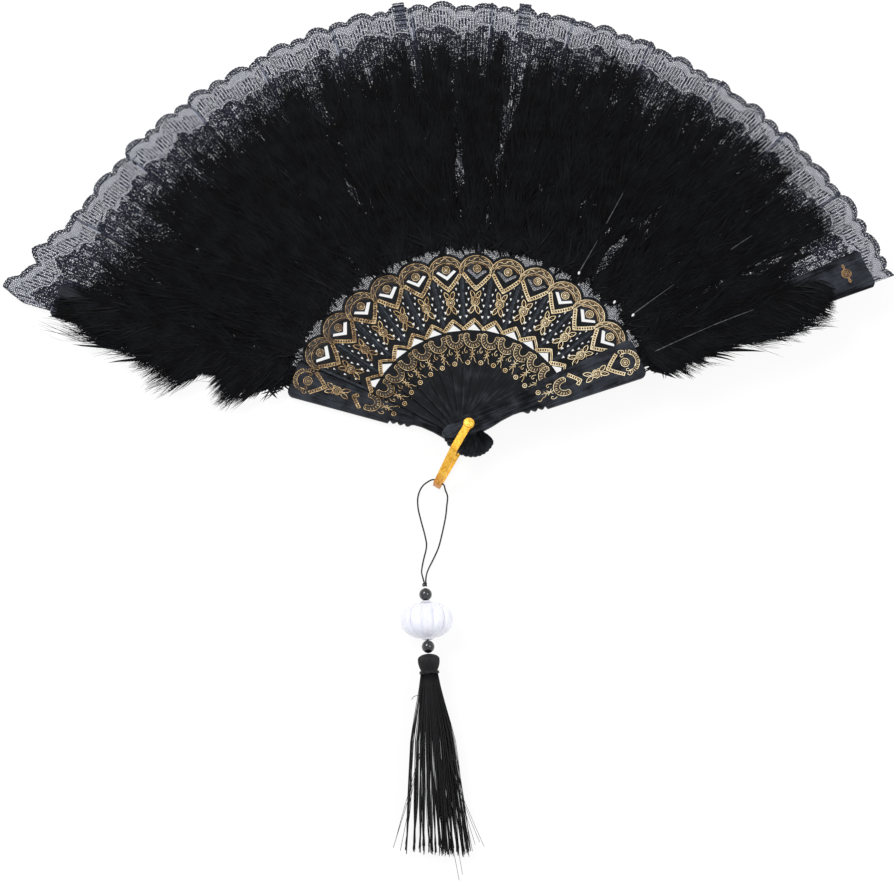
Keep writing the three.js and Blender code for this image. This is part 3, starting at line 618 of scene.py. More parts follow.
class Print:
    """The lines of one print, kept as raised strips in blade directions, in millimetres."""

    def __init__(self):
        self.parts = []

    def line(self, points, width=LINE, closed=False, tone=GOLD, lift=0.0):
        height = (GOLD_HEIGHT if tone == GOLD else SHADE_HEIGHT) + lift
        self.parts.append((*strip(points, width, height, closed=closed), tone))

    def pair(self, points, count, tone=GOLD):
        """A fine curve through a few points, on both sides of the blade's middle."""
        for side in (1, -1):
            self.line(bow(points, count) * (1, side), FINE, tone=tone)

    def rosette(self, centre, radius, petals=8):
        """Rings of petals round a dot."""
        turn = np.linspace(0, 2 * math.pi, 6 * petals, endpoint=False)
        self.line(arc(centre, radius * 0.5, 0, 345, 24), radius * 0.95, True, SHADE)
        for share, lobing, width in ((1.0, 0.08, FINE), (0.58, 0.14, 0.22)):
            reach = radius * share * (1 - lobing * np.abs(np.sin(petals * turn / 2)))
            ring = np.column_stack([centre[0] + reach * np.cos(turn), centre[1] + reach * np.sin(turn)])
            self.line(ring, width, closed=True)
        self.line(arc(centre, radius * 0.16, 0, 330, 8), radius * 0.2, closed=True)

    def leaf(self, root, tip, width):
        """A pointed leaf in thick outline, with a dot in it."""
        root, tip = np.asarray(root, float), np.asarray(tip, float)
        axis = tip - root
        side = np.array([-axis[1], axis[0]]) / np.linalg.norm(axis)
        t = np.linspace(0, 1, 11)
        swell = (width / 2 * np.sin(math.pi * t) ** 0.8)[:, None]
        left = root + t[:, None] * axis + swell * side
        right = root + t[::-1, None] * axis - swell * side
        self.line(np.vstack([left, right[1:-1]]), 0.34, closed=True)
        self.line(root + np.array([0.4, 0.5, 0.6])[:, None] * axis, FINE, tone=WARM)

    def ladder(self, outer, inner, rungs):
        """Two lines with rungs between them, over a brown ground."""
        outer, inner = np.asarray(outer), np.asarray(inner)
        gap = float(np.mean(np.linalg.norm(outer - inner, axis=1)))
        self.line((outer + inner) / 2, gap, tone=SHADE)
        self.line(outer, LINE)
        self.line(inner, LINE)
        for t in np.linspace(0.04, 0.96, rungs):
            at = t * (len(outer) - 1)
            low, part = int(at), at - int(at)
            high = min(low + 1, len(outer) - 1)
            ends = [row[low] * (1 - part) + row[high] * part for row in (outer, inner)]
            self.line(np.array([ends[0], (ends[0] + ends[1]) / 2, ends[1]]), LINE)

    def rose(self, centre):
        """A round rose with two leaves above and two below."""
        u, v = centre
        self.rosette(centre, 2.1, 7)
        self.line(arc(centre, 1.5, 40, 200, 10), FINE * 0.8)
        for side in (1, -1):
            self.leaf((u + 1.8, v + 0.5 * side), (u + 5.8, v + 2.3 * side), 1.9)
            self.leaf((u - 1.8, v + 0.5 * side), (u - 6.1, v + 2.2 * side), 1.9)
            scroll = [(u + 2.0, v + 0.2 * side), (u + 2.5, v + 1.6 * side), (u + 1.6, v + 2.2 * side)]
            self.line(bow(scroll, 8), FINE)

    def crescent_arch(self, centre, outer, inner_up, inner_side):
        """A brown crescent between two pale lines, with scrolls running through it, its ends curled."""
        rim = arc(centre, outer, -96, 96, 40)
        inner = arc(centre, inner_up, -96, 96, 40, inner_side / inner_up)
        middle = (rim + inner) / 2
        self.line(middle, np.linalg.norm(rim - inner, axis=1), tone=SHADE)
        self.line(rim, FINE)
        self.line(inner, THIN)
        self.line(rim * 0.78 + inner * 0.22, 0.2, tone=WARM, lift=WARM_LIFT)
        sway = np.sin(np.linspace(0, 9 * math.pi, 40))[:, None] * 0.24
        self.line(middle + (rim - inner) * sway, THIN)
        for k in range(2, 38, 4):
            dot = middle[k] - (rim[k] - inner[k]) * sway[k] * 1.2
            self.line(arc(dot, 0.22, 0, 300, 5), 0.2, True)
        hook = np.array([(-0.6, 0), (-1.9, 0.5), (-2.0, 1.3), (-1.0, 1.4)]) + (centre[0], inner_side)
        self.pair(hook, 10)

    def shell(self, shift):
        """A fan-shaped shell: two lines with short rays between them."""
        rim = bow([(47.9, 4.4), (46.2, 4.5), (44.2, 4.1), (42.4, 3.0), (41.3, 1.2), (41.1, 0)], 18)
        inner = bow([(47.9, 2.0), (46.6, 2.05), (45.4, 1.7), (44.4, 0.9), (44.1, 0)], 18)
        rim, inner = rim + (shift, 0), inner + (shift, 0)
        for side in (1, -1):
            flip = (1, side)
            self.line((rim + inner) / 2 * flip, 2.3, tone=SHADE)
            self.line(rim * flip, FINE)
            self.line(inner * flip, THIN)
            for k in range(1, 18, 3):
                ray = [(rim[k] * share + inner[k] * (1 - share)) * flip for share in (0.8, 0.6, 0.4)]
                self.line(ray, 0.26)
            end = bow([(47.9, 4.4), (48.4, 3.4), (47.9, 2.0)], 8) + (shift, 0)
            self.line(end * flip, FINE)

    def sprig(self, shift):
        """A short stem with crossed leaves, a scroll on each side, and a ring with a dot at its end."""
        for points in (
            ((41.0, 0), (37.5, 0.15), (34.8, 0.4)), ((40.2, -1.3), (39.0, 0), (37.6, 1.2)),
            ((40.2, 1.3), (39.0, 0), (37.6, -1.2)), ((38.4, -0.9), (37.2, 0), (36.2, 1.3)),
            ((37.2, 0), (36.0, -1.2), (34.6, -1.5), (33.6, -2.3), (32.6, -2.5), (31.9, -1.9)),
            ((41.2, 3.4), (39.6, 3.9), (38.4, 3.2), (38.9, 2.4), (39.6, 2.8)),
            ((41.2, -3.4), (39.6, -3.9), (38.4, -3.2), (38.9, -2.4), (39.6, -2.8)),
        ):
            self.line(bow(points, 12) + (shift, 0), 0.26)
        self.line(arc((33.6 + shift, 1.9), 0.24, 0, 300, 6), 0.3, closed=True)
        self.line(arc((33.6 + shift, 1.9), 1.0, 0, 345, 18), 0.36, closed=True)

    def chevron(self, tip, arm, gap, rungs, sag):
        """A ladder in a V: tip nearest the rivet, arms reaching outward, a little hollow."""
        tip_gap = gap * np.hypot(arm[0] - tip, arm[1]) / arm[1]
        for side in (1, -1):
            self.ladder(*(rail * (1, side) for rail in rails(tip, arm, 12, sag, gap, tip_gap)), rungs)

    def gable(self, apex, arm, gap, rungs):
        """An upturned V over the small triangle: a ladder on one side, two plain lines on the other."""
        for side, width in ((1, gap), (-1, gap * 0.45)):
            outer, inner = rails(apex, arm, 10, 0.25, -width, -width * APEX_DROP)
            if side == 1:
                self.ladder(outer, inner, rungs)
            else:
                self.line(outer * (1, side), LINE)
                self.line(inner * (1, side), FINE)
            hook = bow([arm, (arm[0] - 0.9, arm[1] + 0.1), (arm[0] - 0.8, arm[1] - 0.9)], 7)
            self.line(hook * (1, side), LINE)

    def placed(self, i, name, level, foils):
        """The print as a piece on blade i, its lines standing on a level."""
        points, faces, marks = gathered(self.parts)
        made = piece(name, on_blade(i, points, level), faces, foils, False, marks)
        belongs(made, blade_node(i))


def stick_print():
    """A stick's print, from its scalloped tip down to its gorge."""
    made = Print()
    made.crescent_arch((80.3, 0.0), 8.6, 5.35, 6.7)
    made.pair([(84.9, 0.2), (84.8, 1.8), (84.1, 3.3), (83.0, 4.7), (82.6, 5.4), (83.4, 5.3)], 14, WARM)
    made.rosette((82.1, 0), 1.95)
    made.chevron(70.6, (78.6, 7.2), 1.45, 9, -0.35)
    made.pair([(78.6, 7.2), (79.4, 6.9), (79.3, 6.0)], 6)
    made.rose((64.8, 0))
    made.gable(56.2, (51.0, 5.2), 1.6, 7)
    made.shell(0)
    made.sprig(0)
    return made


# The guards' print lies a little farther out than the sticks'.
GUARD_SHIFT = 3.2


def guard_print():
    """A guard's print: a combed arch with scrolls, then the sticks' figures and one and a half gables."""
    made = Print()
    centre = np.array([82.6, 0.0])
    made.line(arc(centre, 5.2, -100, 100, 36), 1.5, tone=SHADE)
    for comb in np.radians(np.linspace(-96, 96, 17)):
        made.line([centre + (r * math.cos(comb), r * math.sin(comb)) for r in (4.8, 5.4, 6.0)], THIN)
    made.line(arc(centre, 6.05, -60, 60, 30), FINE)
    made.line(arc(centre, 4.35, -100, 100, 30), FINE)
    made.pair([(86.0, 2.4), (84.4, 4.0), (82.0, 4.6), (80.6, 3.9), (81.2, 3.0), (82.1, 3.5)], 15)
    made.pair([(83.0, 6.0), (81.4, 6.6), (80.4, 5.9), (81.0, 5.2)], 9)
    made.rosette((81.6, 0), 2.2, 9)
    made.chevron(71.6, (78.9, 6.0), 1.35, 8, -0.35)
    made.rose((66.4, 0))
    gap = 1.4
    for arm, width, rungs in (((53.9, 5.3), -gap, 7), ((56.4, -2.1), gap, 3)):
        made.ladder(*rails(58.9, arm, 10, 0.2, width, -gap * APEX_DROP), rungs)
    made.shell(GUARD_SHIFT)
    made.sprig(GUARD_SHIFT)
    return made


for lines, blades in ((stick_print(), STICKS), (guard_print(), GUARDS)):
    for i in blades:
        lines.placed(i, f"gilt_print_{i:02d}", blade_top(i), [gold_leaf, brown_shade, warm_leaf])

TIP_MARK_AT = (201.0, 1.0)
GUARD_SLAT_TOP = 21.7
tip_mark = Print()
tip_mark.rosette(TIP_MARK_AT, 2.4)
for side in (1, -1):
    tip_mark.leaf(*(np.add(TIP_MARK_AT, (0, aside * side)) for aside in (2.8, 5.0)), 1.0)
tip_mark.placed(BLADES - 1, "guard_tip_rosette", GUARD_SLAT_TOP, [warm_leaf, brown_shade, brown_shade])

# Lace: one strip of black floral lace with a scalloped, corded edge, glued along the slats. It is
# made as thirteen panels, each between two blades. The strip was joined from
# shorter lengths, and two narrow laps show. Behind the plates its plain hem closes the gaps.
LACE_INNER = 91.4
LACE_OUTER = 224.0
LACE_PICOT = 1.75
LACE_PICOT_DEPTH = 0.42
LACE_LOBE_ROOT = 2.0
LACE_FOLD = 0.45
LACE_COLUMNS = 150
LACE_ROWS = 30
# How far the edge strays outward, by angle in degrees, and how its loose end hangs past the guard.
LACE_DRIFT_AT = (19, 45, 66, 82, 96, 106, 118, 140, 160)
LACE_DRIFT = (-1.5, -2.0, 0.0, 0.6, 2.6, 1.2, -2.2, -1.0, 0.0)
LOOSE_END_AT = (-10, -8.2, -4.8, -3.4, -2.0, -0.4, 0.9, 1.5, 2.2)
LOOSE_END = (0, 3, 8.5, 5.5, 8, 13.5, 13.8, 8.5, 2.5)

NET_MESH, NET_THREAD = 0.85, 0.24
RIM_WIDTH, RIM_THREAD = 2.8, 0.14
WAVE_LENGTH, WAVE_DEPTH = 30, 1.6
STROKE_STEP, STROKE_WIDTH = 0.8, 0.33
FLOWER_SIZE = 12.5
FLOWER_OUTLINE = 0.32
FLORAL_FROM, FLORAL_TO = 14.0, 128.0

net = Finish("black_lace", Roughness=0.85, Specular_IOR_Level=0.15)


def lace_nodes():
    """Net, strokes, flowers and corded edge, as the share of thread at each point."""
    where = net.node("UVMap", uv_map="net").outputs[0]
    edge = net.node("SeparateXYZ", {0: net.node("UVMap", uv_map="edge").outputs[0]}).outputs
    inward = net.math("MULTIPLY", edge["X"], 100.0)
    run = net.math("MULTIPLY", edge["Y"], 100.0)

    def cells(size, randomness=0.6, feature="DISTANCE_TO_EDGE"):
        values = {"Vector": where, "Scale": 100 / size, "Randomness": randomness}
        return net.node("TexVoronoi", values, voronoi_dimensions="2D", feature=feature).outputs

    def joined(operation, first, *others):
        for value in others:
            first = net.math(operation, first, value)
        return first

    below, above = partial(net.math, "LESS_THAN"), partial(net.math, "GREATER_THAN")
    both, either = partial(joined, "MULTIPLY"), partial(joined, "MAXIMUM")

    def near(value, middle, reach):
        return below(net.math("ABSOLUTE", net.math("SUBTRACT", value, middle)), reach)

    mesh = below(cells(NET_MESH)["Distance"], NET_THREAD)
    speckle = both(below(inward, RIM_WIDTH), below(cells(1.3)["Distance"], 0.2))
    rim = either(below(inward, 0.4), near(inward, RIM_WIDTH, RIM_THREAD), speckle)

    phase = net.math("MULTIPLY", run, 2 * math.pi / WAVE_LENGTH)
    wave = net.math("MULTIPLY", net.math("SINE", phase), WAVE_DEPTH)
    waver = net.math("MULTIPLY_ADD", net.noise(where, 14.0, 2.0), 7.0, -3.5)
    depth = net.math("ADD", inward, net.math("ADD", wave, waver))
    fine_strokes = below(net.math("PINGPONG", run, STROKE_STEP), STROKE_WIDTH)
    strokes = both(fine_strokes, above(net.noise(where, 60.0, 2.0), 0.45))
    hatch = both(strokes, either(near(depth, 9.0, 3.4), above(depth, 14.5)))
    line = either(near(depth, 6.4, 0.12), near(depth, 12.6, 0.2))

    flower = cells(FLOWER_SIZE, 0.75, "F1")
    offset = net.vector("SUBTRACT", where, flower["Position"]).outputs[0]
    parts = net.node("SeparateXYZ", {0: offset}).outputs
    turn = net.math("ARCTAN2", parts["Y"], parts["X"])
    reach = net.math("MULTIPLY", net.vector("LENGTH", offset).outputs["Value"], 100.0)
    wobble = net.math("MULTIPLY", net.noise(where, 22.0, 2.0), 3.0)
    petals = net.math("ABSOLUTE", net.math("COSINE", net.math("MULTIPLY_ADD", turn, 2.5, wobble)))
    border = net.math("MULTIPLY_ADD", petals, 2.4, 3.2)
    fill = below(cells(1.1)["Distance"], 0.21)
    outlines = either(near(reach, border, FLOWER_OUTLINE), near(reach, 1.4, 0.3))
    flowers = either(both(below(reach, border), fill), outlines)
    stem = cells(6.0, 1.0)["Distance"]
    stems = either(near(stem, 0.16, 0.05), both(below(stem, 0.1), fill))
    spots = above(net.noise(where, 75.0, 3.0, 0.7), 0.56)
    florals = both(either(flowers, stems, spots), above(depth, FLORAL_FROM), below(inward, FLORAL_TO))
    heavy = either(rim, hatch, line, florals)
    return either(mesh, heavy), heavy, where


thread_share, heavy_thread, lace_where = lace_nodes()
lace_fibre = net.noise(lace_where, 900.0, 3.0)
ground = net.shades(lace_fibre, (0.3, linear(66, 70, 84)), (0.7, linear(98, 102, 118)))
heavy = net.shades(lace_fibre, (0.3, linear(12, 13, 19)), (0.7, linear(30, 32, 44)))
net.wear(Alpha=thread_share, Base_Color=net.mixed(heavy_thread, ground, heavy))
net.bump(lace_fibre, 0.05)

SMALL_LOBE = (7.0, 10.5), (1.3, 2.2)
LARGE_LOBE = (11.5, 15.0), (2.6, 3.6)
LOBE_SEED = 5
lobe_rng = np.random.default_rng(LOBE_SEED)
lobe_starts, lobe_heights = [math.radians(10) * LACE_OUTER], []
while lobe_starts[-1] < math.radians(170) * LACE_OUTER:
    wide, high = LARGE_LOBE if len(lobe_heights) % 2 else SMALL_LOBE
    lobe_starts.append(lobe_starts[-1] + lobe_rng.uniform(*wide))
    lobe_heights.append(lobe_rng.uniform(*high))
lobe_starts, lobe_heights = np.array(lobe_starts), np.array(lobe_heights)


def lace_edge(turn):
    """Distance of the scalloped edge from the rivet, for angles in radians."""
    run = turn * LACE_OUTER
    lobe = np.clip(np.searchsorted(lobe_starts, run) - 1, 0, len(lobe_heights) - 1)
    share = (run - lobe_starts[lobe]) / (lobe_starts[lobe + 1] - lobe_starts[lobe])
    dome = lobe_heights[lobe] * (1 - np.abs(2 * share - 1) ** 2.4)
    picot = LACE_PICOT_DEPTH * np.abs(np.sin(math.pi * run / LACE_PICOT)) ** 0.7
    drift = np.interp(np.degrees(turn), LACE_DRIFT_AT, LACE_DRIFT)
    past = np.degrees(turn - blade_angle(0))
    return LACE_OUTER - LACE_LOBE_ROOT + dome + picot + drift + np.interp(past, LOOSE_END_AT, LOOSE_END)


def patch(angle, radius, height, inward):
    """A patch of lace, rows of radii by columns of angles: its points, faces and two maps.

    The maps are in tenths of a metre: where a point is on the net, and how far in from the edge."""
    angle, radius, height, inward = np.broadcast_arrays(angle, radius, height, inward)
    rows, columns = radius.shape
    points = np.stack([radius * np.cos(angle), radius * np.sin(angle), height], axis=-1).reshape(-1, 3)
    row, column = np.mgrid[0:rows - 1, 0:columns - 1]
    corner = (row * columns + column).ravel()
    faces = np.column_stack([corner, corner + 1, corner + columns + 1, corner + columns])
    net_map = np.stack([angle * LACE_OUTER, radius], axis=-1).reshape(-1, 2) / 100
    edge_map = np.stack([inward, angle * LACE_OUTER], axis=-1).reshape(-1, 2) / 100
    return points, faces, net_map, edge_map


# Two laps, by panel and angle, each crossed by corded lines. The hem reaches lower behind the open
# chevrons of sticks 7 to 9.
LACE_JOINS = {6: 97.9, 8: 81.5}
JOIN_HALF_WIDTH = 3.0
JOIN_LOW = 214.0
JOIN_PAST_EDGE = 1.2
JOIN_LIFT = 0.15
JOIN_CORD_AT, JOIN_CORD_STEP = 2.1, 1.6
HEM_LOW = {8: 73.0, 9: 73.0}
HEM_LOW_ELSEWHERE = 82.6
HEM_STEPS = (82.8, 83.0, 85.0, 88.0, 91.0, LACE_INNER)
HEM_WIDENS = (83, 85)
HEM_TURN = 1.5
HEM_CLEARANCE = 0.1
HEM_SIDES = {8: (math.radians(3.9), 0.0), 9: (0.0, math.radians(3.9))}
SLAT_SIDE = math.radians(1.25)


def lace_panel(i, start, end, level):
    """The panel between blades i - 1 and i: its wide part, its hem behind the plates, and a lap."""
    turn = np.linspace(start, end, LACE_COLUMNS + 1)
    outer = lace_edge(turn)
    share = np.linspace(0, 1, LACE_ROWS + 1)[:, None] ** 0.8
    radius = LACE_INNER + (outer[None, :] - LACE_INNER) * share
    fold = LACE_FOLD * np.sin(6 * math.pi * (turn - start) / (end - start))[None, :] * share**2
    patches = [patch(turn, radius, level + fold, outer - radius)]
    low = HEM_LOW.get(i, HEM_LOW_ELSEWHERE)
    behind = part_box(blade_node(i - 1))[0].z / MM - HEM_CLEARANCE
    radius = np.array([low, *HEM_STEPS])[:, None]
    height = np.where(radius < LACE_INNER, behind, level)
    beyond = HEM_SIDES.get(i, (0.0, 0.0))
    first, second = (np.interp(radius, HEM_WIDENS, (-past, SLAT_SIDE)) for past in beyond)
    across = np.linspace(0, 1, 21)
    wedge = (blade_angle(i - 1) - first) * (1 - across) + (blade_angle(i) + second) * across
    patches.append(patch(wedge, radius, height, LACE_OUTER - radius))
    if i in LACE_JOINS:
        middle, half = math.radians(LACE_JOINS[i]), JOIN_HALF_WIDTH / LACE_OUTER
        turn = np.linspace(middle + half, middle - half, 9)
        top = lace_edge(turn).max() + JOIN_PAST_EDGE
        radius = np.linspace(JOIN_LOW, top, 16)[:, None]
        corded = JOIN_CORD_AT + (top - radius) % JOIN_CORD_STEP
        patches.append(patch(turn, radius, level + LACE_FOLD + JOIN_LIFT, corded))
    points, faces, _ = gathered([(its_points, its_faces, 0) for its_points, its_faces, _, _ in patches])
    made = piece(f"lace_panel_{i:02d}", points, faces, [net])
    loops = np.array([loop.vertex_index for loop in made.data.loops])
    for title, which in (("net", 2), ("edge", 3)):
        values = np.vstack([its[which] for its in patches])[loops]
        made.data.uv_layers.new(name=title).data.foreach_set("uv", values.astype(np.float32).ravel())
    flat = (abs(end - start) * outer.max() * MM, (outer.max() - low + HEM_TURN) * MM)
    return made, flat, sum(face.area for face in made.data.polygons)


# The lace's glue, dried pale round the thin end of each slat.
GLUE_FROM, GLUE_TO = 207.0, 214.2
GLUE_WIDTH, GLUE_HEIGHT, GLUE_DEPTH = 2.15, 0.05, 0.45
SLAT_TOP = 0.5
dried_glue = grained(
    "dried_glue", (800.0, 3.0), (0.3, (128, 131, 142)), (0.7, (176, 179, 190)), (0.5, 0.75), (0.1,),
    Specular_IOR_Level=0.2,
)
for i in STICKS:
    u = np.linspace(GLUE_FROM, GLUE_TO, 24)
    uneven = GLUE_WIDTH + 0.12 * np.sin(2.1 * u + i)
    points, faces = strip(np.column_stack([u, 0 * u]), uneven, GLUE_HEIGHT, GLUE_DEPTH, bevel=0.12)
    points = on_blade(i, points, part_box(blade_node(i))[0].z / MM + SLAT_TOP)
    belongs(piece(f"slat_glue_{i:02d}", points, faces, [dried_glue]), blade_node(i))

# Each panel stops a little short of its blades' middle lines.
END_LAP = math.radians(0.2 * BLADE_PITCH)
LAP = math.radians(0.2)
for i in range(1, BLADES):
    start = blade_angle(i - 1) + (END_LAP if i == 1 else LAP)
    end = blade_angle(i) - (END_LAP if i == BLADES - 1 else LAP)
    low, high = (corner.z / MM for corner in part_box(f"lace_{i:02d}"))
    panel, flat, area = lace_panel(i, start, end, (low + high) / 2)
    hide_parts(f"lace_{i:02d}")
    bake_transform(panel)

# Feathers: black marabou, several plumes glued on each blade by their quills, soft barbs lying
# outward in tufts, thin enough here and there for the lace to show. The guards' plumes have a
# loose fringe over the fan's two straight sides. A few quills lie bare, with a dab of glue.
BARB_STEPS = 6
PLUME_START = 92.4

down_finish = grained(
    "marabou_down", (110.0, 4.0, 0.6), (0.38, (3, 3, 5)), (0.68, (15, 17, 21)), (0.75, 0.95),
    Sheen_Weight=0.06, Sheen_Roughness=0.6, Specular_IOR_Level=0.05,
)
quill_finish = grained(
    "feather_quill", (700.0,), (0.35, (34, 35, 39)), (0.7, (96, 98, 104)), (0.3, 0.5), (0.05,),
    Specular_IOR_Level=0.5,
)
glue_finish = grained(
    "clear_glue", (500.0,), (0.3, (170, 172, 176)), (0.7, (235, 236, 240)), (0.2, 0.4),
    Specular_IOR_Level=0.5, Coat_Weight=0.4,
)

# Places where the feathers part: angle, nearest and farthest distance, and half the width.
PARTINGS = (
    (81.4, 172, 203, 4.4), (81.9, 150, 174, 3.0), (82.8, 130, 152, 1.8), (84.2, 105, 117, 1.6),
    (90.8, 126, 147, 2.6), (90.6, 105, 114, 1.3), (97.0, 184, 200, 2.4), (114.3, 134, 143, 1.6),
    (50.5, 112, 128, 2.0), (49.0, 132, 152, 1.2), (30.1, 131, 146, 1.5), (29.0, 155, 178, 2.4),
    (104.0, 186, 196, 1.2), (66.0, 180, 192, 2.2), (118.0, 150, 162, 1.2), (50.6, 93, 108, 2.6),
    (86.0, 91, 97, 2.4), (94.6, 91, 96, 2.2), (38.6, 91, 100, 2.2), (122.5, 94, 101, 1.6),
)
# How far out the feathers reach, blade by blade.
FEATHER_REACH = (207, 199, 200, 202, 205, 207, 208, 207, 208, 210, 212, 213, 210, 189)


def barbs(rng, roots, headings, lengths, bends, lifts, widths):
    """Tapered ribbons from roots (along, across, up), each with its heading in the blade's plane.

    The heading turns by its bend from root to tip, and the barb arches up by its lift."""
    count = len(roots)
    s = np.linspace(0, 1, BARB_STEPS)[None, :]
    heading = headings[:, None] + bends[:, None] * s
    heading = heading + rng.normal(0, 0.09, (count, 1)) * np.sin(5 * s + rng.uniform(0, 6, (count, 1)))
    step = lengths[:, None] / (BARB_STEPS - 1)
    across = np.cumsum(np.sin(heading) * step, axis=1) - np.sin(heading) * step
    onward = np.cumsum(np.cos(heading) * step, axis=1) - np.cos(heading) * step
    up = lifts[:, None] * np.sin(math.pi * np.minimum(s * rng.uniform(0.55, 1.0, (count, 1)), 1))
    line = np.stack([roots[:, 0:1] + onward, roots[:, 1:2] + across, roots[:, 2:3] + up], axis=-1)
    tilt = rng.uniform(-0.9, 0.9, (count, 1))
    level, rise = np.cos(tilt) + 0 * heading, np.sin(tilt) + 0 * heading
    side = np.stack([-np.sin(heading) * level, np.cos(heading) * level, rise], axis=-1)
    half = widths[:, None] / 2 * np.minimum(1, 0.5 + 3 * s) * (1 - s**2.2) + 0.02
    return np.stack([line + side * half[..., None], line - side * half[..., None]], axis=2)


def plume(rng, start, end, reach, tufts, n, level):
    """One feather's barbs, in tufts of n along a quill between two points (along, across)."""
    start, end = np.asarray(start, float), np.asarray(end, float)
    axis = end - start
    heading = math.atan2(axis[1], axis[0])
    found = []
    for k in range(tufts):
        t = (k + rng.uniform(0, 1)) / tufts
        side = 1 if rng.uniform() < 0.5 else -1
        lean = rng.uniform(0.05, 0.62) * (1 - 0.6 * t)
        centre = start + axis * t
        thick = 0.6 + 2.2 * math.sin(math.pi * min(t + 0.15, 1))
        roots = np.column_stack([
            centre[0] + rng.normal(0, 2.6, n), centre[1] + rng.normal(0, 1.0, n),
            level + rng.uniform(0.1, 1.0, n) * thick,
        ])
        bend = -side * rng.uniform(-0.1, 0.55) * lean
        long = reach * rng.uniform(0.7, 1.15) * (1 - 0.3 * t)
        headings = heading + side * lean + rng.normal(0, 0.09, n)
        found.append(barbs(
            rng, roots, headings, long * rng.uniform(0.4, 1.1, n),
            bend + rng.normal(0, 0.12, n), rng.uniform(0.2, 1.4, n), rng.uniform(0.2, 0.55, n),
        ))
    return found


# How far the fringe hangs past each guard's middle line, by distance from the rivet, and how
# steeply its tufts lean out there, in radians.
BACK_FRINGE_AT = (
    88, 96, 98, 105, 111, 118, 124, 127, 132, 137, 143, 149, 155, 161, 168, 177, 187, 204, 212,
)
BACK_FRINGE = (6, 7, 11, 18, 26, 30, 23, 14, 16, 24, 29, 31, 30, 25, 20, 16.5, 14.5, 13, 11)
BACK_LEANS = (96, 118, 150, 165, 190, 212), (1.2, 1.1, 1.0, 0.8, 0.55, 0.42)
FRONT_FRINGE_AT = (92, 100, 108, 114, 118, 127, 140, 148, 156, 164, 172, 180, 186, 190)
FRONT_FRINGE = (13, 17.5, 20, 19.5, 15.5, 13.5, 14, 17, 20, 22.5, 22, 20, 17, 12)
FRONT_LEANS = (92, 190), (1.0, 0.7)


def fringe(rng, at, depth, side, tufts, leans, level):
    """Tufts that hang over a guard's straight side, down to a ragged boundary."""
    found, n = [], FRINGE_BARBS
    for _ in range(tufts):
        tip_u = rng.uniform(at[0], at[-1])
        deep = np.interp(tip_u, at, depth) * rng.uniform(0.3, 1.06)
        turn = np.interp(tip_u, *leans) + rng.normal(0, 0.09)
        roots_v = rng.uniform(-4, 6, n)
        drop = np.maximum((deep - roots_v) * rng.uniform(0.82, 1.03, n), 1.5)
        roots_u = tip_u - drop / math.tan(turn) + rng.normal(0, rng.uniform(0.3, 1.5), n)
        roots_u = np.maximum(roots_u, PLUME_START + rng.uniform(0, 4, n))
        bend = rng.normal(0, 0.2)
        roots = np.column_stack([roots_u, side * roots_v, level + rng.uniform(0.1, 2.5, n)])
        headings = side * (turn - bend / 2 + rng.normal(0, 0.03, n))
        bends = side * (bend + rng.normal(0, 0.05, n))
        widths = rng.uniform(0.4, 1.0, n) * (1.6 - deep / max(depth))
        lengths = drop / math.sin(turn)
        found.append(barbs(rng, roots, headings, lengths, bends, rng.uniform(0, 1, n), widths))
    return found


def parted(i, strands):
    """The barbs of blade i that leave the partings open."""
    middle = strands.mean(axis=2)
    placed = on_blade(i, middle.reshape(-1, 3)).reshape(middle.shape)
    x, y = placed[..., 0], placed[..., 1]
    stray = np.sin(np.arange(len(strands)) * 12.9) > 0.975
    keep = np.ones(len(strands), bool)
    for angle, near, far, half in PARTINGS:
        cos, sin = math.cos(math.radians(angle)), math.sin(math.radians(angle))
        onward, aside = x * cos + y * sin, np.abs(y * cos - x * sin)
        ragged = half * (0.6 + 0.3 * np.sin(onward * 0.55 + angle) + 0.2 * np.sin(onward * 1.3))
        keep &= stray | ~((onward > near) & (onward < far) & (aside < ragged)).any(axis=1)
    return strands[keep]


# Bare quills, as (along, across) on their blades, and the dabs of glue at their roots.
BARE_QUILLS = {
    10: (((94.5, 0.6), (113, 2.6)), ((123, 4.1), (141, 6.4))),
    12: (((97.4, 2.4), (121.7, 4.0)), ((155.7, 3.8), (168.7, 4.1))),
    13: (((96.1, -1.4), (127.6, 0.1)), ((127.6, 0.1), (149, -0.1))),
}
GLUE_DABS = {10: (93.9, 0.5), 11: (93.6, -4.8), 12: (96.3, 2.0)}
ROOT_LENGTH = 14
QUILL_LIFT = 4.9
QUILL_RADIUS = 0.24
PLUME_LANES = (-0.66, -0.2, 0.2, 0.66)
SECOND_PLUME = 38
PLUME_REACH = 26
PLUME_SHORT = (14, 30)
FEATHER_SEED = 700
PLUME_TUFTS, TUFT_BARBS = 30, 15
BACK_TUFTS, FRONT_TUFTS, FRINGE_BARBS = 420, 300, 12


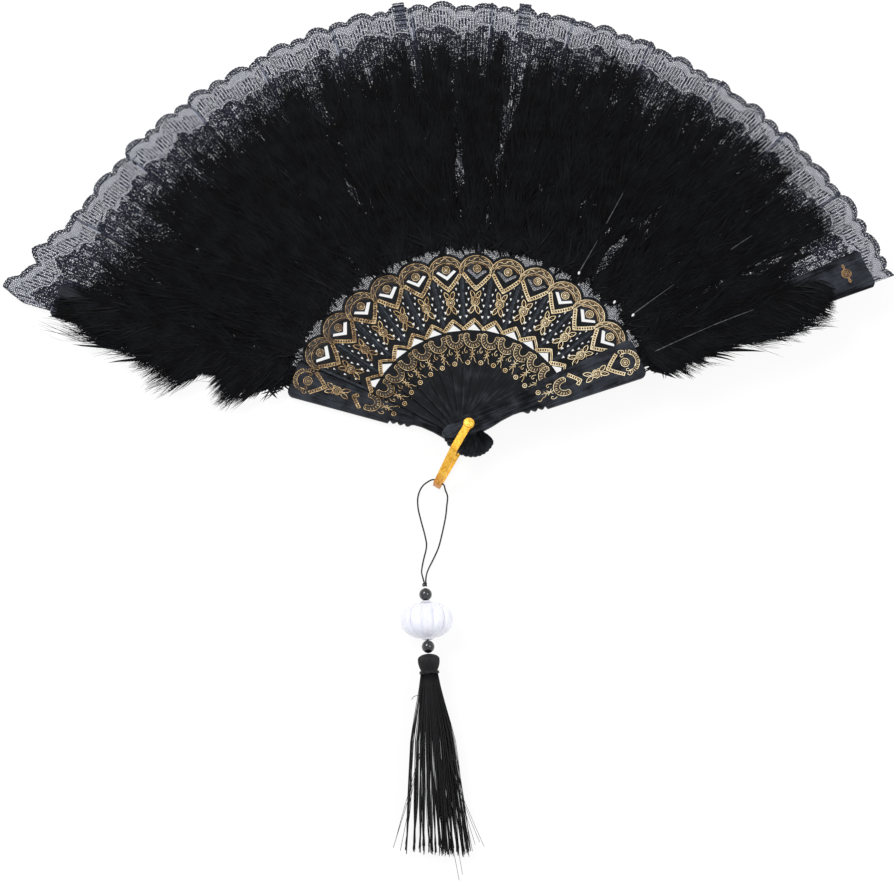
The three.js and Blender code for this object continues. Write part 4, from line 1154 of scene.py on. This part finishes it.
def feather_piece(i):
    """All the plumes of blade i in one mesh, made in the blade's own directions."""
    rng = np.random.default_rng(FEATHER_SEED + i)
    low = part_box(f"feather_{i:02d}")[0].z / MM
    far = FEATHER_REACH[i]
    last = i == BLADES - 1
    found = []
    for lane in PLUME_LANES:
        for start_u in (PLUME_START, PLUME_START + SECOND_PLUME):
            end_u = far - rng.uniform(*PLUME_SHORT)
            start = (start_u + rng.uniform(-0.5, 4), lane * HALF_PITCH_SLOPE * start_u + rng.uniform(-1, 1))
            end = (end_u, lane * HALF_PITCH_SLOPE * end_u * 1.05 + rng.uniform(-4, 4))
            found += plume(rng, start, end, PLUME_REACH, PLUME_TUFTS, TUFT_BARBS, low)

    def spread(n, near, far_end, lengths, widths, lean, towards=0.0):
        """Barbs rooted all over the blade's share of the fan between two distances."""
        u = rng.uniform(near, far_end, n)
        v = rng.uniform(-1, 1, n) * HALF_PITCH_SLOPE * u
        roots = np.column_stack([u, v, low + rng.uniform(0.1, 1.2, n)])
        headings, lengths = rng.normal(towards, lean, n), rng.uniform(*lengths, n)
        bends, lifts = rng.normal(0, 0.15, n), rng.uniform(0, 0.8, n)
        return barbs(rng, roots, headings, lengths, bends, lifts, rng.uniform(*widths, n))

    # Broad down under the rest, fluff round the roots, some of it turned inward, and fine hairs.
    found.append(spread(170, PLUME_START + 1, far - 34, (14, 26), (2.0, 3.6), 0.2))
    found.append(spread(340, PLUME_START - 1.2, PLUME_START + 7, (7, 17), (0.7, 1.6), 0.5))
    found.append(spread(90, PLUME_START + 3, PLUME_START + 10, (5, 10), (0.8, 1.8), 0.6, math.pi))
    if not last:
        found.append(spread(130, far - 28, far - 12, (12, 24), (0.12, 0.26), 0.1))
    if i == 0:
        found += fringe(rng, BACK_FRINGE_AT, BACK_FRINGE, 1, BACK_TUFTS, BACK_LEANS, low)
    if last:
        found += fringe(rng, FRONT_FRINGE_AT, FRONT_FRINGE, -1, FRONT_TUFTS, FRONT_LEANS, low)
    strands = parted(i, np.concatenate(found))
    points = strands.reshape(-1, 3)
    first = (np.arange(len(strands)) * 2 * BARB_STEPS)[:, None]
    base = (first + 2 * np.arange(BARB_STEPS - 1)[None, :]).ravel()
    parts = [(points, np.column_stack([base, base + 1, base + 3, base + 2]).tolist(), 0)]
    root = ((PLUME_START, 0), (PLUME_START + ROOT_LENGTH, 0))
    for k, (start, end) in enumerate((root, *BARE_QUILLS.get(i, ()))):
        t = np.linspace(0, 1, 12)[:, None]
        line = np.asarray(start) * (1 - t) + np.asarray(end) * t
        lift = low + (0.6 if k == 0 else QUILL_LIFT) + 0.4 * np.sin(math.pi * t)
        parts.append((*tube(np.hstack([line, lift]), QUILL_RADIUS * (1 - 0.55 * t[:, 0]), 6), 1))
    if i in GLUE_DABS:
        u, v = GLUE_DABS[i]
        t = np.linspace(-1, 1, 9)
        line = np.column_stack([u + 0.9 * t, v + 0.3 * t, np.full(9, low + 4.6)])
        parts.append((*tube(line, 0.6 * np.sqrt(1.02 - t**2), 10), 2))
    points, faces, marks = gathered(parts)
    finishes = [down_finish, quill_finish, glue_finish]
    return piece(f"marabou_{i:02d}", on_blade(i, points), faces, finishes, True, marks)


for i in range(BLADES):
    plumes = feather_piece(i)
    belongs(plumes, blade_node(i), f"feather_{i:02d}")
    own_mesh(plumes)

# Beads: two black glass beads, and between them a carved bead of milky glass, lobed like a lotus
# pod, with a small collar at each end. All three are strung on the cord below the knot.
BEAD_RADIUS = 3.0
BEAD_BORE = 0.55
LOTUS_AT = 7.9
LOTUS_RADIUS = 12.2
LOTUS_HALF_LENGTH = 9.1
LOTUS_LOBES = 12
LOTUS_LOBE_DEPTH = 1.45
LOTUS_HOLLOW = 0.16
LOTUS_COLLAR = 2.6
LOWER_BEAD_AT = 26.4


def turned(profile, sides, shape=None):
    """A form turned round the string from (radius, along), closed on itself through its bore."""
    angle = np.linspace(0, 2 * math.pi, sides, endpoint=False)
    rows, faces = [], []
    for k, (radius, far) in enumerate(profile):
        reach = np.full(sides, radius)
        if shape is not None:
            reach = shape(reach, far, angle)
        level = np.full(sides, far)
        rows.append(np.column_stack([reach * np.cos(angle), reach * np.sin(angle), level]))
        faces += band(k * sides, (k + 1) % len(profile) * sides, sides)
    return np.vstack(rows), faces


black_glass = grained(
    "black_glass", (420.0, 3.0), (0.35, (10, 10, 12)), (0.7, (34, 35, 40)), (0.08, 0.2), (0.05, 0.3),
    Specular_IOR_Level=0.6, Coat_Weight=0.6, Coat_Roughness=0.04,
)
for name, at in (("upper_bead", UPPER_BEAD_AT), ("lower_bead", LOWER_BEAD_AT)):
    start = math.asin(BEAD_BORE / BEAD_RADIUS)
    turns = np.linspace(start, math.pi - start, 28)
    profile = [(BEAD_RADIUS * math.sin(t), at + BEAD_RADIUS - BEAD_RADIUS * math.cos(t)) for t in turns]
    points, faces = turned(profile, 48)
    belongs(piece(f"{name}_glass", strung(points), faces, [black_glass]), "tassel", name)

milk_glass = grained(
    "milk_glass", (90.0, 3.0), (0.3, (216, 218, 231)), (0.7, (237, 238, 247)), (0.12, 0.3), (0.2, 0.3),
    Specular_IOR_Level=0.5, Coat_Weight=0.3, Coat_Roughness=0.08,
    Subsurface_Weight=0.35, Subsurface_Radius=(1.0, 1.0, 1.1), Subsurface_Scale=0.003,
)


def lotus_lobes(reach, far, angle):
    """Twelve petals round the bead, each a little hollowed along its middle line."""
    height = (far - LOTUS_AT) / LOTUS_HALF_LENGTH - 1
    full = max(0.0, 1 - height**2)
    lobe = 1 - np.abs(np.cos(LOTUS_LOBES * angle / 2)) ** 0.8
    middle = np.exp(-((np.abs(np.sin(LOTUS_LOBES * angle / 2)) / 0.28) ** 2))
    return reach - full * (LOTUS_LOBE_DEPTH * lobe**1.6 + LOTUS_HOLLOW * middle)


start = math.asin(LOTUS_COLLAR / LOTUS_RADIUS)
half = (LOTUS_HALF_LENGTH - 1) / math.cos(start) ** 0.9
profile = [(BEAD_BORE, LOTUS_AT), (LOTUS_COLLAR - 0.25, LOTUS_AT), (LOTUS_COLLAR, LOTUS_AT + 0.3)]
for t in np.linspace(start, math.pi - start, 40):
    crown = abs(math.cos(t)) ** 0.9 * math.copysign(1, math.cos(t))
    profile.append((LOTUS_RADIUS * math.sin(t) ** 0.86, LOTUS_AT + LOTUS_HALF_LENGTH - half * crown))
lotus_end = LOTUS_AT + 2 * LOTUS_HALF_LENGTH
profile += [(LOTUS_COLLAR, lotus_end - 0.3), (LOTUS_COLLAR - 0.25, lotus_end), (BEAD_BORE, lotus_end)]
points, faces = turned(profile, 144, lotus_lobes)
belongs(piece("lotus_glass", strung(points), faces, [milk_glass]), "tassel", "lotus_bead")

# Tassel: a hank of black rayon thread folded over the cord, bound round its neck with the same
# thread. The cut skirt hangs from the binding and spreads over the table, with a few strays.
TASSEL_AT = 32.7
TASSEL_END = 90.1
TASSEL_LIES_AT = 5.14
TASSEL_DIP = math.atan2(KNOT_AT[2] - TASSEL_LIES_AT, TASSEL_END)
HEAD_RADIUS = 5.1
HEAD_THREADS = 46
HEAD_CROWN = 2.6
BINDING_AT = 7.9
BINDING_LENGTH = 1.6
BINDING_TURNS = 4
BINDING_RADIUS = 4.42
BINDING_THREAD = 0.24
SKIRT_AT = 10.1
SKIRT_TUCK = 0.9
SKIRT_LENGTH = 82.5
SKIRT_STRANDS = 430
SKIRT_GAP_SHARE = 0.45
SKIRT_THREAD, STRAY_THREAD, CURL_THREAD = 0.17, 0.13, 0.15
SKIRT_SEED = 41
SKIRT_WIDTHS = (0, 8, 29, 80), (4.0, 5.6, 10.4, 16.0)
SKIRT_HEIGHTS = (0, 10, 29, 80), (4.0, 4.4, 4.9, 4.9)

rayon = grained(
    "black_rayon", (1500.0, 3.0), (0.34, (3, 3, 5)), (0.7, (13, 14, 19)), (0.35, 0.6), (0.08, 0.5),
    (1, 0.12, 1), Specular_IOR_Level=0.3, Sheen_Weight=0.12, Sheen_Roughness=0.35,
)
hanging = stringing @ Matrix.Translation((0, 0, TASSEL_AT)) @ Matrix.Rotation(TASSEL_DIP, 4, "Y")


def head_threads(reach, far, angle):
    """Folded threads side by side over the head."""
    return reach * (1 - 0.05 * (1 - np.abs(np.cos(HEAD_THREADS * angle / 2))))


profile = [(0.5, 0.35)]
for t in np.linspace(0.12, math.pi / 2, 10):
    profile.append((HEAD_RADIUS * math.sin(t), HEAD_CROWN - HEAD_CROWN * math.cos(t)))
profile += [(5.05, 4.0), (4.8, 5.4), (4.35, 6.7), (3.95, 7.6), (3.9, 8.6), (3.95, 9.8), (0.5, 9.8)]
points, faces = turned(profile, HEAD_THREADS * 6, head_threads)
belongs(piece("thread_head", strung(points, hanging), faces, [rayon]), "tassel", "tassel_head")

t = np.linspace(0, 2 * math.pi * BINDING_TURNS, 220)
wound = BINDING_AT + 0.25 + (BINDING_LENGTH - 0.5) * t / t[-1]
wrap = np.column_stack([BINDING_RADIUS * np.cos(t), BINDING_RADIUS * np.sin(t), wound])
points, faces = tube(strung(wrap, hanging), BINDING_THREAD, 8, 2, 1.2, 0.15)
belongs(piece("thread_binding", points, faces, [rayon]), "tassel", "tassel_binding")

# Strays of the skirt: how far aside each ends, and its length.
STRAYS = (
    (8.6, 93.5), (10.8, 91), (20.8, 79), (19.6, 77), (17.5, 78), (-19.6, 77.5), (-17.2, 79), (-18.4, 74),
)
STRAYS_LEAVE_AT = 6
CURL_AT = 9


def skirt():
    """Every strand of the skirt, in bundles, from the binding to its cut end, and a few strays."""
    rng = np.random.default_rng(SKIRT_SEED)
    golden = math.pi * (3 - math.sqrt(5))
    bundles = np.concatenate([rng.uniform(-1.02, 0, 10), rng.uniform(0.02, 0.98, 20)])
    t = np.linspace(0, 1, 14)
    parts = []

    def strand(up, aside, far, radius):
        line = np.column_stack([up + 0 * far, aside, SKIRT_AT + far])
        parts.append((*tube(strung(line, hanging), radius, 4), 0))

    for k in range(SKIRT_STRANDS):
        out = math.sqrt((k + 0.5) / SKIRT_STRANDS)
        up, side = out * math.cos(k * golden), out * math.sin(k * golden)
        bundle = bundles[np.argmin(np.abs(bundles - side))]
        if side < 0.1 and rng.uniform() < SKIRT_GAP_SHARE:
            continue
        pull = 0.62 * t if bundle > 0 else 0.96 * t**0.66
        length = SKIRT_LENGTH - rng.uniform(0, 4.5) - 2 * out * rng.uniform(0, 1) + 1.5 * side
        far = (length + SKIRT_TUCK) * t - SKIRT_TUCK
        sway = rng.normal(0, 0.4) * np.sin(math.pi * t)
        sway = sway + rng.normal(0, 0.35) * np.sin(3 * math.pi * t + 1) * t
        aside = (side + (bundle - side) * pull) * np.interp(far, *SKIRT_WIDTHS) + sway
        strand(up * np.interp(far, *SKIRT_HEIGHTS), aside, far, SKIRT_THREAD)
    for end, length in STRAYS:
        far = STRAYS_LEAVE_AT + (length - STRAYS_LEAVE_AT) * t
        strand(-3.5, end * t**1.25 + 0.6 * np.sin(5 * t + end), far, STRAY_THREAD)
    curl = bow([(0, 0), (2.2, -0.5), (3.4, -1.8)], 8)
    strand(-2, -5.4 - curl[:, 0], CURL_AT - curl[:, 1], CURL_THREAD)
    return gathered(parts)


points, faces, _ = skirt()
belongs(piece("thread_skirt", points, faces, [rayon]), "tassel", "tassel_skirt")
